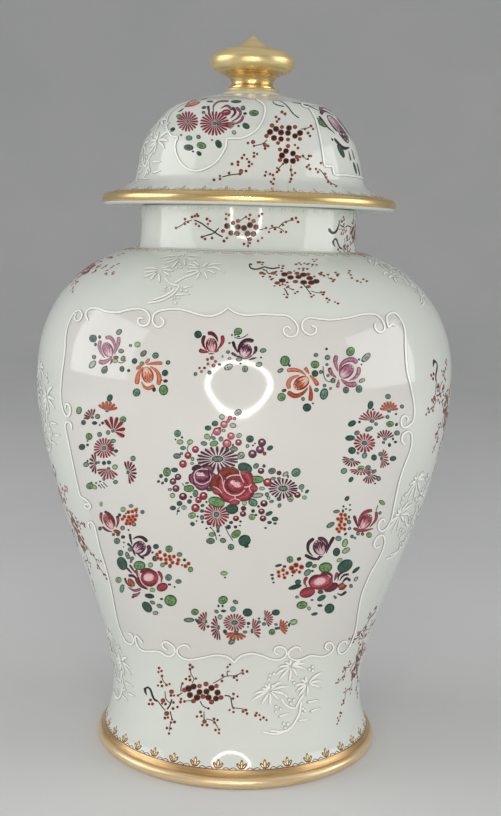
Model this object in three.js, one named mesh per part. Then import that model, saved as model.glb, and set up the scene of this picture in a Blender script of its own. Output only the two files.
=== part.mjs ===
// Potiche: a tall covered jar of glazed porcelain on a gilt rolled foot.
// The jar and the cover are thrown and turned, and the gilt knop is luted to the crown of the cover.
// Every piece is a turned profile about Z. Lengths are in millimetres and the jar stands on z = 0.
import * as THREE from 'three';

// Jar: the foot
const footRadius = 91.4; // to the middle of the rolled edge
const footRollRadius = 3.8;
const footRingWidth = 11; // the flat ring that the jar stands on
const footRecessDepth = 10; // how far the base is turned away inside the ring
const footRecessTaper = 1.4;
const footGrooveDepth = 0.9; // the groove between the roll and the flare
const footGrooveHeight = 1.1;
const footFlareOffset = 1.6; // the flare starts this far outside the middle of the roll

// Jar: the body, from the waist to the root of the neck
const waistRadius = 85;
const waistHeight = 42;
const bellyRadius = 137;
const bellyHeight = 252;
const shoulderHeight = 333.5;
const shoulderRadius = 72;
const bodyWall = 6;
const baseThickness = 9;
const floorRadius = 58; // where the inside floor starts to turn up
const floorRise = 23; // from the inside floor to the inside of the waist

// Jar: the neck
const neckRadius = 70.9; // at the rim
const neckHollow = 0.9; // how far the neck draws in below the rim
const neckHeight = 26.5;
const neckWall = 7;
const rimRounding = 1.4;

// Cover: the flange that drops into the neck, and the brim that lies on the rim
const coverSeatClearance = 0.3;
const flangeClearance = 2.2; // between the flange and the inside of the neck
const flangeDepth = 14;
const flangeWall = 4.5;
const flangeRounding = 1;
const brimRadius = 92.1; // to the middle of the rolled edge
const brimRollRadius = 4.1;
const brimRollRise = 3.2; // the middle of the roll above the seat

// Cover: the dome and the collar on its crown
const domeRadius = 74.5;
const domeFootHeight = 17.7; // above the seat
const domeHeight = 71.5; // foot of the collar above the seat
const crownRise = 0.7; // the crown on the axis above the foot of the collar
const domeWall = 5;
const collarRadius = 19.8;
const collarTopRadius = 16.4;
const collarHeight = 4.1;
const collarRounding = 1.2;

// Knop: a ring, a cove, a flattened bun and a cone
const knopSeatClearance = 0.3;
const knopRingRadius = 15.2;
const knopRingHeight = 1.7;
const knopWaistRadius = 13.4;
const knopWaistHeight = 2.5; // above the seat of the knop
const knopCoveHeight = 8.7;
const bunCreaseRadius = 23.6;
const bunRadius = 27.5;
const bunLowerHeight = 5.8;
const bunUpperHeight = 8.5;
const coneRadius = 11;
const coneStep = 0.5; // the small step round the root of the cone
const coneHeight = 8.6;
const coneTipRadius = 0.8;

// Shares of a curve's own rise and reach at which its two handles stand
const flareHandleShares = { drop: 0.16, pull: 0.6, rise: 0.48 };
const riseHandleShares = { low: 0.231, high: 0.369 };
const shoulderHandleShares = { low: 0.584, reach: 0.518, high: 0.079 };
const neckHandleShares = { low: 0.18, high: 0.6 };
const innerShoulderHandleShares = { low: 0.57, reach: 0.5, high: 0.08 };
const floorHandleShares = { reach: 0.62, rise: 0.55 };
const brimHandleShares = { reach: 0.52, rise: 0.38, side: 0.06, drop: 0.42 };
const domeHandleShares = { lean: 0.126, side: 0.652, reach: 0.723, crown: 0.063 };
const innerDomeHandleShares = { lean: 0.106, side: 0.74, crown: 0.76 };
const innerRootHandleShares = { rise: 0.45, drop: 0.4 };
const coveHandleShares = { low: 0.46, reach: 0.3, high: 0.75 };
const bunLowerHandleShares = { reach: 0.77, rise: 0.17, side: 0.41 };
const bunUpperHandleShares = { side: 0.54, reach: 0.61, crown: 0.07 };

// Fineness of the turned surfaces
const jarFacets = 52;
const coverFacets = 52;
const knopFacets = 36;
const arcSteps = 3;
const rollSteps = 6;
const curveSteps = 7;

const quarterTurn = Math.PI / 2;

// Heights and radii that follow from the sizes above
const neckTop = shoulderHeight + neckHeight;
const neckInnerRadius = neckRadius - neckWall;
const seatHeight = neckTop + coverSeatClearance;
const collarFoot = seatHeight + domeHeight;
const collarTop = collarFoot + collarHeight;
const knopSeat = collarTop + knopSeatClearance;

const glaze = new THREE.MeshStandardMaterial({ color: 0xd8dad4, roughness: 0.12, metalness: 0 });
const gilding = new THREE.MeshStandardMaterial({ color: 0xc9a14e, roughness: 0.3, metalness: 1 });

// One outline, sampled finely on its curves and once on its straight stretches
function outlinePoints(outline) {
  const points = [];
  for (const curve of outline.curves) {
    let steps = 1;
    if (curve.isEllipseCurve) steps = curve.xRadius > rimRounding ? rollSteps : arcSteps;
    if (curve.isCubicBezierCurve) steps = curveSteps;
    const sampled = curve.getPoints(steps);
    if (points.length > 0) sampled.shift();
    points.push(...sampled);
  }
  return points;
}

// Turn an outline about Z. The outline runs from the axis, up the outside and back to the axis.
function turned(name, outline, facets, material) {
  const geometry = new THREE.LatheGeometry(outlinePoints(outline), facets);
  geometry.rotateX(quarterTurn);
  const mesh = new THREE.Mesh(geometry, material);
  mesh.name = name;
  return mesh;
}

// Outside of the jar: ring, roll, groove, flare, body and neck, up to the rounded rim
function jarOutside(outline) {
  const ringRadius = footRadius - footRingWidth;
  const rollTop = Math.PI / 3;
  const grooveFloor = footRollRadius * (1 + Math.sin(rollTop)) + footGrooveHeight / 2;
  const flareRadius = footRadius + footFlareOffset;
  const flareHeight = grooveFloor + footGrooveHeight / 2;
  const flareReach = flareRadius - waistRadius;
  const flareRise = waistHeight - flareHeight;
  const rise = bellyHeight - waistHeight;
  const shoulderRise = shoulderHeight - bellyHeight;
  const shoulderReach = bellyRadius - shoulderRadius;

  outline.moveTo(0, footRecessDepth);
  outline.lineTo(ringRadius - footRecessTaper, footRecessDepth);
  outline.lineTo(ringRadius, 0);
  outline.lineTo(footRadius, 0);
  outline.absarc(footRadius, footRollRadius, footRollRadius, -quarterTurn, rollTop, false);
  outline.lineTo(flareRadius - footGrooveDepth, grooveFloor);
  outline.lineTo(flareRadius, flareHeight);
  outline.bezierCurveTo(
    flareRadius - flareReach * flareHandleShares.pull, flareHeight + flareRise * flareHandleShares.drop,
    waistRadius, waistHeight - flareRise * flareHandleShares.rise,
    waistRadius, waistHeight);
  outline.bezierCurveTo(
    waistRadius, waistHeight + rise * riseHandleShares.low,
    bellyRadius, bellyHeight - rise * riseHandleShares.high,
    bellyRadius, bellyHeight);
  outline.bezierCurveTo(
    bellyRadius, bellyHeight + shoulderRise * shoulderHandleShares.low,
    shoulderRadius + shoulderReach * shoulderHandleShares.reach,
    shoulderHeight - shoulderRise * shoulderHandleShares.high,
    shoulderRadius, shoulderHeight);
  outline.bezierCurveTo(
    neckRadius - neckHollow, shoulderHeight + neckHeight * neckHandleShares.low,
    neckRadius - neckHollow, shoulderHeight + neckHeight * neckHandleShares.high,
    neckRadius, neckTop - rimRounding);
  outline.absarc(neckRadius - rimRounding, neckTop - rimRounding, rimRounding, 0, quarterTurn, false);
}

// Inside of the jar: neck, shoulder, body and floor, down to the axis
function jarInside(outline) {
  const innerBelly = bellyRadius - bodyWall;
  const innerWaist = waistRadius - bodyWall;
  const innerShoulder = shoulderHeight - bodyWall;
  const innerFloor = footRecessDepth + baseThickness;
  const innerWaistHeight = innerFloor + floorRise;
  const shoulderRise = innerShoulder - bellyHeight;
  const shoulderReach = innerBelly - neckInnerRadius;
  const rise = bellyHeight - innerWaistHeight;

  outline.absarc(neckInnerRadius + rimRounding, neckTop - rimRounding, rimRounding,
    quarterTurn, 2 * quarterTurn, false);
  outline.lineTo(neckInnerRadius, innerShoulder);
  outline.bezierCurveTo(
    neckInnerRadius + shoulderReach * innerShoulderHandleShares.reach,
    innerShoulder - shoulderRise * innerShoulderHandleShares.high,
    innerBelly, bellyHeight + shoulderRise * innerShoulderHandleShares.low,
    innerBelly, bellyHeight);
  outline.bezierCurveTo(
    innerBelly, bellyHeight - rise * riseHandleShares.high,
    innerWaist, innerWaistHeight + rise * riseHandleShares.low,
    innerWaist, innerWaistHeight);
  outline.bezierCurveTo(
    innerWaist, innerWaistHeight - floorRise * floorHandleShares.rise,
    floorRadius + (innerWaist - floorRadius) * floorHandleShares.reach, innerFloor,
    floorRadius, innerFloor);
  outline.lineTo(0, innerFloor);
}

function jar() {
  const outline = new THREE.Path();
  jarOutside(outline);
  jarInside(outline);
  return turned('jar', outline, jarFacets, glaze);
}

// Underside and flange of the cover, from the axis under the crown out to the rolled edge
function coverInside(outline) {
  const flangeOuter = neckInnerRadius - flangeClearance;
  const flangeInner = flangeOuter - flangeWall;
  const flangeFoot = seatHeight - flangeDepth;
  const innerCrown = collarFoot + crownRise - domeWall;
  const innerDome = domeRadius - domeWall;
  const innerDomeFoot = seatHeight + domeFootHeight;
  const domeRise = innerCrown - innerDomeFoot;
  const rootRise = innerDomeFoot - seatHeight;

  outline.moveTo(0, innerCrown);
  outline.bezierCurveTo(
    innerDome * innerDomeHandleShares.crown, innerCrown,
    innerDome * (1 - innerDomeHandleShares.lean), innerDomeFoot + domeRise * innerDomeHandleShares.side,
    innerDome, innerDomeFoot);
  outline.bezierCurveTo(
    innerDome, innerDomeFoot - rootRise * innerRootHandleShares.drop,
    flangeInner, seatHeight + rootRise * innerRootHandleShares.rise,
    flangeInner, seatHeight);
  outline.lineTo(flangeInner, flangeFoot + flangeRounding);
  outline.absarc(flangeInner + flangeRounding, flangeFoot + flangeRounding, flangeRounding,
    2 * quarterTurn, 3 * quarterTurn, false);
  outline.absarc(flangeOuter - flangeRounding, flangeFoot + flangeRounding, flangeRounding,
    -quarterTurn, 0, false);
  outline.lineTo(flangeOuter, seatHeight);
}

// Outside of the cover: rolled edge, brim, dome and the collar that carries the knop
function coverOutside(outline) {
  const rollHeight = seatHeight + brimRollRise;
  const rollStart = Math.asin(brimRollRise / brimRollRadius) - 2 * quarterTurn;
  const rollEnd = quarterTurn + Math.PI / 9;
  const brimTopRadius = brimRadius + brimRollRadius * Math.cos(rollEnd);
  const brimTopHeight = rollHeight + brimRollRadius * Math.sin(rollEnd);
  const brimReach = brimTopRadius - domeRadius;
  const domeFoot = seatHeight + domeFootHeight;
  const brimRise = domeFoot - brimTopHeight;
  const domeRise = domeHeight - domeFootHeight;
  const domeReach = domeRadius - collarRadius;

  outline.absarc(brimRadius, rollHeight, brimRollRadius, rollStart, rollEnd, false);
  outline.bezierCurveTo(
    brimTopRadius - brimReach * brimHandleShares.reach, brimTopHeight + brimRise * brimHandleShares.rise,
    domeRadius + brimReach * brimHandleShares.side, domeFoot - brimRise * brimHandleShares.drop,
    domeRadius, domeFoot);
  outline.bezierCurveTo(
    domeRadius - domeReach * domeHandleShares.lean, domeFoot + domeRise * domeHandleShares.side,
    collarRadius + domeReach * domeHandleShares.reach, collarFoot - domeRise * domeHandleShares.crown,
    collarRadius, collarFoot);
  outline.lineTo(collarTopRadius + collarRounding, collarTop - collarRounding);
  outline.absarc(collarTopRadius, collarTop - collarRounding, collarRounding, 0, quarterTurn, false);
  outline.lineTo(0, collarTop);
}

function cover() {
  const outline = new THREE.Path();
  coverInside(outline);
  coverOutside(outline);
  return turned('cover', outline, coverFacets, glaze);
}

// The knop: ring, cove, flattened bun and cone, from its seat up to the tip
function knop() {
  const waist = knopSeat + knopWaistHeight;
  const crease = waist + knopCoveHeight;
  const bun = crease + bunLowerHeight;
  const bunTop = bun + bunUpperHeight;
  const tip = bunTop + coneHeight;
  const coveReach = bunCreaseRadius - knopWaistRadius;
  const lowerReach = bunRadius - bunCreaseRadius;
  const upperReach = bunRadius - coneRadius;

  const outline = new THREE.Path();
  outline.moveTo(0, knopSeat);
  outline.lineTo(knopRingRadius, knopSeat);
  outline.lineTo(knopRingRadius, knopSeat + knopRingHeight / 2);
  outline.lineTo(knopWaistRadius, waist);
  outline.bezierCurveTo(
    knopWaistRadius, waist + knopCoveHeight * coveHandleShares.low,
    knopWaistRadius + coveReach * coveHandleShares.reach, waist + knopCoveHeight * coveHandleShares.high,
    bunCreaseRadius, crease);
  outline.bezierCurveTo(
    bunCreaseRadius + lowerReach * bunLowerHandleShares.reach,
    crease + bunLowerHeight * bunLowerHandleShares.rise,
    bunRadius, bun - bunLowerHeight * bunLowerHandleShares.side,
    bunRadius, bun);
  outline.bezierCurveTo(
    bunRadius, bun + bunUpperHeight * bunUpperHandleShares.side,
    coneRadius + upperReach * bunUpperHandleShares.reach,
    bunTop - bunUpperHeight * bunUpperHandleShares.crown,
    coneRadius, bunTop);
  outline.lineTo(coneRadius - coneStep, bunTop + coneStep);
  outline.lineTo(coneTipRadius, tip - coneTipRadius / 2);
  outline.lineTo(0, tip);
  return turned('knop', outline, knopFacets, gilding);
}

const potiche = new THREE.Group();
potiche.add(jar());
potiche.add(cover());
potiche.add(knop());

export default potiche;
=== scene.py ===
"""A potiche: a tall covered baluster jar of enamelled and gilt porcelain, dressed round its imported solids."""
import math
import random

import bpy
import numpy as np
from mathutils import Matrix, Vector


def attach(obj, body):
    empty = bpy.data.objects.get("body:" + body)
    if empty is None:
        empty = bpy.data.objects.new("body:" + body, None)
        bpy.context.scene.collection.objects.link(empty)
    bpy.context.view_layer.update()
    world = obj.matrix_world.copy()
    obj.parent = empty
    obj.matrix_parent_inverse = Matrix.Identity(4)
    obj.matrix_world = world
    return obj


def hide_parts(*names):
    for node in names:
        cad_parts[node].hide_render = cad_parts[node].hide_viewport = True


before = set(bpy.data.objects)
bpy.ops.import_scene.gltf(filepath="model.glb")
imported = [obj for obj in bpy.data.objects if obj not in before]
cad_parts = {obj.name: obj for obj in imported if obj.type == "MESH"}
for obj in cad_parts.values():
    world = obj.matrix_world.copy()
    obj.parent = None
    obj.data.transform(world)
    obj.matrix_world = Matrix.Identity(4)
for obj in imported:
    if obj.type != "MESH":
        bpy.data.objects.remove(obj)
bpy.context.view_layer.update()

MM = 0.001

# The photograph's view
# The camera looks slightly down on the jar from 0.8 m, and its picture is turned a degree and a half. The
# painting below is placed by its pixels in this view, so the camera comes first.
PHOTO_SIZE = (501, 816)
FOCAL_PIXELS = 1212.0
AIM_ASIDE_PIXELS, TILT_DOWN, ROLL = 6.77, 0.1364, 0.0266
CAMERA_PLACE = Vector((0, -808.67, 338.35)) * MM
CAMERA_TURN = (Matrix.Rotation(-math.atan(AIM_ASIDE_PIXELS / FOCAL_PIXELS), 3, "Z")
               @ Matrix.Rotation(math.pi / 2 - TILT_DOWN, 3, "X") @ Matrix.Rotation(ROLL, 3, "Z"))

camera_data = bpy.data.cameras.new("camera")
camera_data.sensor_fit = "VERTICAL"
camera_data.sensor_height = 36
camera_data.lens = FOCAL_PIXELS / PHOTO_SIZE[1] * camera_data.sensor_height
camera_data.clip_start = 0.05
camera = bpy.data.objects.new("camera", camera_data)
camera.location = CAMERA_PLACE
camera.rotation_euler = CAMERA_TURN.to_euler()
bpy.context.scene.collection.objects.link(camera)
bpy.context.scene.camera = camera
bpy.context.scene.view_settings.view_transform = "Standard"

# The jar
# One thrown and turned body of white porcelain: an unglazed foot ring, a rolled foot, a slender waist, a high
# belly and a short neck. The glaze is glossy, pooled a little green outside the painted panels and greyer
# inside them.
TURNING_STEPS = 240
WELD = 0.002 * MM
SOFT_EDGE = math.radians(38)
# The foot's coats: lowest and highest place, and the radius within which the glaze stays, in millimetres
BARE_RING, WORN_ROLL, BROWN_BAND = (-0.1, 1.2, 78), (1.2, 7.9, 88.5), (7.9, 11.6, 88.5)
# How far inside a panel's edge the greyer tint begins, and where it is full
TINT_FADE = (0.1 * MM, 1.2 * MM)


def linear(hex_code):
    """A colour as a painter writes it, turned to the renderer's linear light."""
    parts = [int(hex_code[i:i + 2], 16) / 255 for i in (1, 3, 5)]
    return tuple(c / 12.92 if c <= 0.04045 else ((c + 0.055) / 1.055) ** 2.4 for c in parts) + (1.0,)


def node(material, kind, inputs=None, **settings):
    """Add one shader node, with its settings and what feeds its sockets."""
    made = material.node_tree.nodes.new("ShaderNode" + kind)
    for name, value in settings.items():
        setattr(made, name, value)
    for socket, value in (inputs or {}).items():
        if isinstance(value, bpy.types.NodeSocket):
            material.node_tree.links.new(value, made.inputs[socket])
        else:
            made.inputs[socket].default_value = value
    return made


def material_named(name):
    """An empty node material."""
    material = bpy.data.materials.new(name)
    material.use_nodes = True
    material.node_tree.nodes.clear()
    return material


def finish_material(material, **inputs):
    """End a material in the shader of its surface, with the sockets given by name."""
    shader = node(material, "BsdfPrincipled", {k.replace("_", " "): v for k, v in inputs.items()})
    node(material, "OutputMaterial", {"Surface": shader.outputs[0]})
    return material


def ramp(material, factor, *stops):
    """A colour ramp through stops of (place, colour)."""
    made = node(material, "ValToRGB", {0: factor})
    elements = made.color_ramp.elements
    while len(elements) < len(stops):
        elements.new(0.5)
    for element, (place, colour) in zip(elements, stops):
        element.position = place
        element.color = linear(colour)
    return made.outputs[0]


def arc(centre, radius, start, end, pieces=2, before=None):
    """The knots of a round arc in an outline, in degrees from the outward direction."""
    step = math.radians(end - start) / pieces
    reach = 4 / 3 * math.tan(step / 4) * radius
    knots = []
    for i in range(pieces + 1):
        a = math.radians(start) + step * i
        r, z = centre[0] + radius * math.cos(a), centre[1] + radius * math.sin(a)
        back = (r + reach * math.sin(a), z - reach * math.cos(a)) if i else before
        ahead = (r - reach * math.sin(a), z + reach * math.cos(a)) if i < pieces else None
        knots.append((r, z, back, ahead, 0))
    return knots


def turned(name, knots):
    """Turn an outline, drawn as a curve, about the upright axis. Gives the piece and its outline in metres.
    A knot is (radius, height, handle before, handle after, extra knots put in after it), in millimetres."""
    curve = bpy.data.curves.new(name, "CURVE")
    curve.dimensions = "3D"
    curve.resolution_u = 12
    spline = curve.splines.new("BEZIER")
    spline.bezier_points.add(len(knots) - 1)
    for point, (r, z, before, after, _) in zip(spline.bezier_points, knots):
        point.co = (r * MM, 0, z * MM)
        point.handle_left_type = "FREE" if before else "VECTOR"
        point.handle_right_type = "FREE" if after else "VECTOR"
        if before:
            point.handle_left = (before[0] * MM, 0, before[1] * MM)
        if after:
            point.handle_right = (after[0] * MM, 0, after[1] * MM)
    piece = bpy.data.objects.new(name, curve)
    bpy.context.scene.collection.objects.link(piece)
    bpy.ops.object.select_all(action="DESELECT")
    bpy.context.view_layer.objects.active = piece
    piece.select_set(True)
    bpy.ops.object.mode_set(mode="EDIT")
    for i in reversed(range(len(knots))):
        if knots[i][4]:
            bpy.ops.curve.select_all(action="DESELECT")
            points = piece.data.splines[0].bezier_points
            for point in points[i:i + 2]:
                point.select_control_point = point.select_left_handle = point.select_right_handle = True
            bpy.ops.curve.subdivide(number_cuts=knots[i][4])
    bpy.ops.object.mode_set(mode="OBJECT")
    bpy.ops.object.convert(target="MESH")
    outline = np.array([(v.co.x, v.co.z) for v in piece.data.vertices])
    bpy.ops.object.mode_set(mode="EDIT")
    bpy.ops.mesh.select_all(action="SELECT")
    bpy.ops.mesh.spin(steps=TURNING_STEPS, angle=2 * math.pi, center=(0, 0, 0), axis=(0, 0, 1))
    bpy.ops.mesh.select_all(action="SELECT")
    bpy.ops.mesh.remove_doubles(threshold=WELD)
    bpy.ops.mesh.normals_make_consistent(inside=False)
    bpy.ops.object.mode_set(mode="OBJECT")
    bpy.ops.object.shade_smooth_by_angle(angle=SOFT_EDGE)
    return piece, outline


JAR_OUTLINE = [
    (0, 10, None, None, 0), (79, 10, None, None, 0), (80.4, 0, None, None, 0),
    *arc((91.4, 3.8), 3.8, -90, 60),
    (92.1, 7.64, None, None, 0), (93, 8.19, None, (88.2, 13.6), 1),
    (85, 42, (85, 25.8), (85, 90.5), 4),
    (137, 252, (137, 174.5), (137, 299.6), 2),
    (72, 333.5, (105.7, 327.1), (70, 338.3), 0),
    *arc((69.5, 358.6), 1.4, 0, 90, 1, before=(70, 349.4)),
    *arc((65.3, 358.6), 1.4, 90, 180, 1),
    (63.9, 327.5, None, (97.5, 321.5), 0),
    (131, 252, (131, 295), (131, 174.5), 1),
    (79, 42, (79, 90.5), (79, 29.35), 0),
    (58, 19, (71, 19), None, 0), (0, 19, None, None, 0),
]
jar, jar_outline = turned("porcelain_jar", JAR_OUTLINE)


def finished(piece, body, slot, *replaced):
    """Hang a finished piece on its body, with the solids that it stands for hidden. The slot is not used."""
    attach(piece, body)
    if replaced:
        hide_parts(*replaced)


def coat_zone(piece, low, high, inner_radius, coat):
    """Cut an edge loop at two heights and give the outer faces between them another coat."""
    bpy.ops.object.select_all(action="DESELECT")
    bpy.context.view_layer.objects.active = piece
    piece.select_set(True)
    bpy.ops.object.mode_set(mode="EDIT")
    for height in (low, high):
        bpy.ops.mesh.select_all(action="SELECT")
        bpy.ops.mesh.bisect(plane_co=(0, 0, height * MM), plane_no=(0, 0, 1))
    bpy.ops.object.mode_set(mode="OBJECT")
    piece.data.materials.append(coat)
    for face in piece.data.polygons:
        r = math.hypot(face.center.x, face.center.y) / MM
        if low < face.center.z / MM < high and r > inner_radius:
            face.material_index = len(piece.data.materials) - 1


# Feldspar glaze over white porcelain: glossy, with the faint waves of a brushed and fired coat
glaze = material_named("glazed_porcelain")
spot = node(glaze, "TexCoord").outputs["Object"]
clouding = node(glaze, "TexNoise", {"Vector": spot, "Scale": 14.0, "Detail": 3.0}).outputs[0]
waves = node(glaze, "TexNoise", {"Vector": spot, "Scale": 55.0, "Detail": 2.0, "Roughness": 0.4}).outputs[0]
outside = ramp(glaze, clouding, (0.3, "#D9DED8"), (0.7, "#DEE3DD"))
inside = ramp(glaze, clouding, (0.3, "#D6D6D2"), (0.7, "#DADAD7"))
panel = node(glaze, "Attribute", attribute_name="panel").outputs["Fac"]
within = node(glaze, "MapRange", {0: panel, 1: TINT_FADE[0], 2: TINT_FADE[1]}).outputs[0]
tint = node(glaze, "Mix", {0: within, 6: outside, 7: inside}, data_type="RGBA").outputs[2]
bump = node(glaze, "Bump", {"Height": waves, "Strength": 0.05, "Distance": 0.002}).outputs[0]
finish_material(glaze, Base_Color=tint, Roughness=0.08, IOR=1.5, Normal=bump)
jar.data.materials.append(glaze)


def gilding(name, roughness, film, *tones):
    """Liquid gold brushed on the turning wheel, with fine streaks that run round the piece. The film is how
    much of the white body the gold still hides."""
    coat = material_named(name)
    spot = node(coat, "TexCoord").outputs["Object"]
    around = node(coat, "Mapping", {"Vector": spot, "Scale": (40, 40, 1400)}).outputs[0]
    fine = {"Vector": around, "Scale": 1.0, "Detail": 4.0, "Roughness": 0.6}
    streaks = node(coat, "TexNoise", fine).outputs[0]
    tone = ramp(coat, streaks, *zip((0.3, 0.5, 0.75), tones))
    spread = {0: streaks, 1: 0.3, 2: 0.75, 3: roughness * 1.3, 4: roughness * 0.8}
    matt = node(coat, "MapRange", spread).outputs[0]
    return finish_material(coat, Base_Color=tone, Metallic=film, Roughness=matt)


# Burnished gold: clear reflections, deep yellow in the hollows
gold = gilding("burnished_gold", 0.26, 0.9, "#CCA766", "#E4C68A", "#F5E2B4")
# Gold rubbed satin by hands and shelves: paler, with soft broad highlights
satin_gold = gilding("rubbed_gold", 0.34, 0.8, "#DABF80", "#EBD49A", "#F8EABD")
# The foot's roll has rubbed paler
worn_gold = gilding("worn_gold", 0.3, 0.55, "#D2B07C", "#E4CBA0", "#F2E2C4")
# The band above the roll is browner, where the gold has gone thin over its iron size
brown_gold = gilding("brown_gold", 0.3, 0.75, "#A8814E", "#C4A06E", "#DEC598")
# Porcelain that stood bare in the kiln: matt, faintly buff
bare = material_named("bare_porcelain")
spot = node(bare, "TexCoord").outputs["Object"]
grain = node(bare, "TexNoise", {"Vector": spot, "Scale": 700.0}).outputs[0]
finish_material(bare, Base_Color=ramp(bare, grain, (0.3, "#D8CFBF"), (0.7, "#E4DDD0")), Roughness=0.75)
coat_zone(jar, *WORN_ROLL, worn_gold)
coat_zone(jar, *BROWN_BAND, brown_gold)
coat_zone(jar, *BARE_RING, bare)
finished(jar, "jar", "porcelain", "jar")

# The cover
# A second thrown piece: a flange that drops into the neck, a flat seat, a brim with a rolled edge and a high
# dome. The knop is luted to its collar. The glaze is the jar's, and the rolled edge is gilt.
BRIM_GILDING, COLLAR_GILDING = (361.2, 368.1, 80), (433.2, 436.2, 12)
BRIM_ROLL = arc((92.1, 363.5), 4.1, -128.7, 110, 3)
COVER_OUTLINE = [
    (0, 427.5, None, (52.8, 427.5), 1),
    (69.5, 378, (62.1, 414.6), (69.5, 370.9), 0), (57.2, 360.3, (57.2, 368.3), None, 0),
    *arc((58.2, 347.3), 1, 180, 270, 1), *arc((60.7, 347.3), 1, -90, 0, 1), (61.7, 360.3, None, None, 0),
    *BRIM_ROLL[:-1], (90.7, 367.35, BRIM_ROLL[-1][2], (82.28, 371.4), 0),
    (74.5, 378, (75.47, 373.53), (67.6, 413.1), 2), (19.8, 431.8, (59.35, 428.4), None, 0),
    *arc((16.4, 434.7), 1.2, 0, 90, 1), (0, 435.9, None, None, 0),
]
cover, cover_outline = turned("porcelain_cover", COVER_OUTLINE)
cover.data.materials.append(glaze)
coat_zone(cover, *BRIM_GILDING, gold)
coat_zone(cover, *COLLAR_GILDING, satin_gold)
finished(cover, "cover", "porcelain", "cover")

# The knop
# A porcelain finial thrown on its own, luted with slip to the collar of the cover and gilt all over: a ring,
# a cove, a flattened bun and a low cone.
SATIN_TOP = (446.4, 470.4, -1)
KNOP_OUTLINE = [
    (0, 436.2, None, None, 0), (15.2, 436.2, None, None, 0), (15.2, 437.05, None, None, 0),
    (13.4, 438.7, None, (13.4, 442.7), 0), (23.6, 447.4, (16.46, 445.2), (26.6, 448.4), 0),
    (27.5, 453.2, (27.5, 450.8), (27.5, 457.8), 0), (11, 461.7, (21.07, 461.1), None, 0),
    (10.5, 462.2, None, None, 0), (0.8, 469.9, None, None, 0), (0, 470.3, None, None, 0),
]
knop, _ = turned("gilt_knop", KNOP_OUTLINE)
knop.data.materials.append(gold)
coat_zone(knop, *SATIN_TOP, satin_gold)
finished(knop, "cover", "gilding", "knop")

# The white slip
# The frame of each big panel is trailed in thick white slip, a round cord that stands proud under the clear
# glaze, in lengths that end in small scrolls. As in all the painting, each stroke is kept on the photograph's
# pixels and laid where their sight lines meet the turned wall.

# A stroke's edge is sunk in the wall and its underside lies deeper, so no gap shows under it
SUNK, UNDER = -0.05 * MM, -0.3 * MM
# Where sight lines look for the wall, in metres from the eye, how many go at once, how often a gap is halved
SIGHT_DEPTHS = np.linspace(0.62, 0.88, 200)
SIGHTS_AT_ONCE, HALVINGS = 4000, 22


def wall_of(body, outline, start, end):
    """The outside of a turned piece between two of its outline's points, and which way it faces."""
    first, last = (int(np.argmin(np.hypot(*(outline - np.array(p) * MM).T))) for p in (start, end))
    run = outline[first:last + 1]
    along = np.concatenate([[0], np.cumsum(np.hypot(*np.diff(run, axis=0).T))])
    slope = np.gradient(run, along, axis=0)
    slope /= np.hypot(*slope.T)[:, None]
    return {"body": body, "s": along, "r": run[:, 0], "z": run[:, 1], "nr": slope[:, 1], "nz": -slope[:, 0]}


def traced(wall, pixels):
    """Angle round from the front and distance along the wall, where the sight lines of the pixels meet it."""
    pixels = np.asarray(pixels, float).reshape(-1, 2)
    aim = np.column_stack([(pixels[:, 0] - PHOTO_SIZE[0] / 2) / FOCAL_PIXELS,
                           (PHOTO_SIZE[1] / 2 - pixels[:, 1]) / FOCAL_PIXELS, -np.ones(len(pixels))])
    aim = aim @ np.array(CAMERA_TURN).T
    eye = np.array(CAMERA_PLACE)

    def outside(depth, ray):
        at = eye + depth[..., None] * ray
        wide = np.interp(at[..., 2], wall["z"], wall["r"], left=0, right=0)
        return np.hypot(at[..., 0], at[..., 1]) - wide

    found = np.empty((len(pixels), 2))
    for begin in range(0, len(pixels), SIGHTS_AT_ONCE):
        ray = aim[begin:begin + SIGHTS_AT_ONCE]
        gaps = outside(SIGHT_DEPTHS[None, :], ray[:, None, :])
        hit = np.argmax(gaps < 0, axis=1)
        first = np.where((gaps < 0).any(axis=1), hit, np.argmin(gaps, axis=1))
        hit = np.maximum(first, 1)
        near, far = SIGHT_DEPTHS[hit - 1], SIGHT_DEPTHS[hit]
        for _ in range(HALVINGS):
            middle = (near + far) / 2
            inside = outside(middle, ray) < 0
            near, far = np.where(inside, near, middle), np.where(inside, middle, far)
        at = eye + far[:, None] * ray
        found[begin:begin + SIGHTS_AT_ONCE, 0] = np.arctan2(at[:, 0], -at[:, 1])
        found[begin:begin + SIGHTS_AT_ONCE, 1] = np.interp(at[:, 2], wall["z"], wall["s"])
    return found


def on_wall(wall, around, along, lift):
    """Points a small lift off the wall."""
    r = np.interp(along, wall["s"], wall["r"]) + lift * np.interp(along, wall["s"], wall["nr"])
    z = np.interp(along, wall["s"], wall["z"]) + lift * np.interp(along, wall["s"], wall["nz"])
    return np.column_stack([r * np.sin(around), -r * np.cos(around), z])


def carried(place, wall, anchor, new_wall, around, along, turn, size):
    """Carry a traced drawing so that its anchor pixel is at an angle in degrees and a distance in mm."""
    home = traced(wall, [anchor])[0]
    across = (place[:, 0] - home[0]) * np.interp(place[:, 1], wall["s"], wall["r"]) * size
    up = (place[:, 1] - home[1]) * size
    a = math.radians(turn)
    across, up = across * math.cos(a) - up * math.sin(a), across * math.sin(a) + up * math.cos(a)
    new_along = np.clip(along * MM + up, 0, new_wall["s"][-1])
    radius = np.interp(new_along, new_wall["s"], new_wall["r"])
    return np.column_stack([math.radians(around) + across / radius, new_along])


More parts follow.
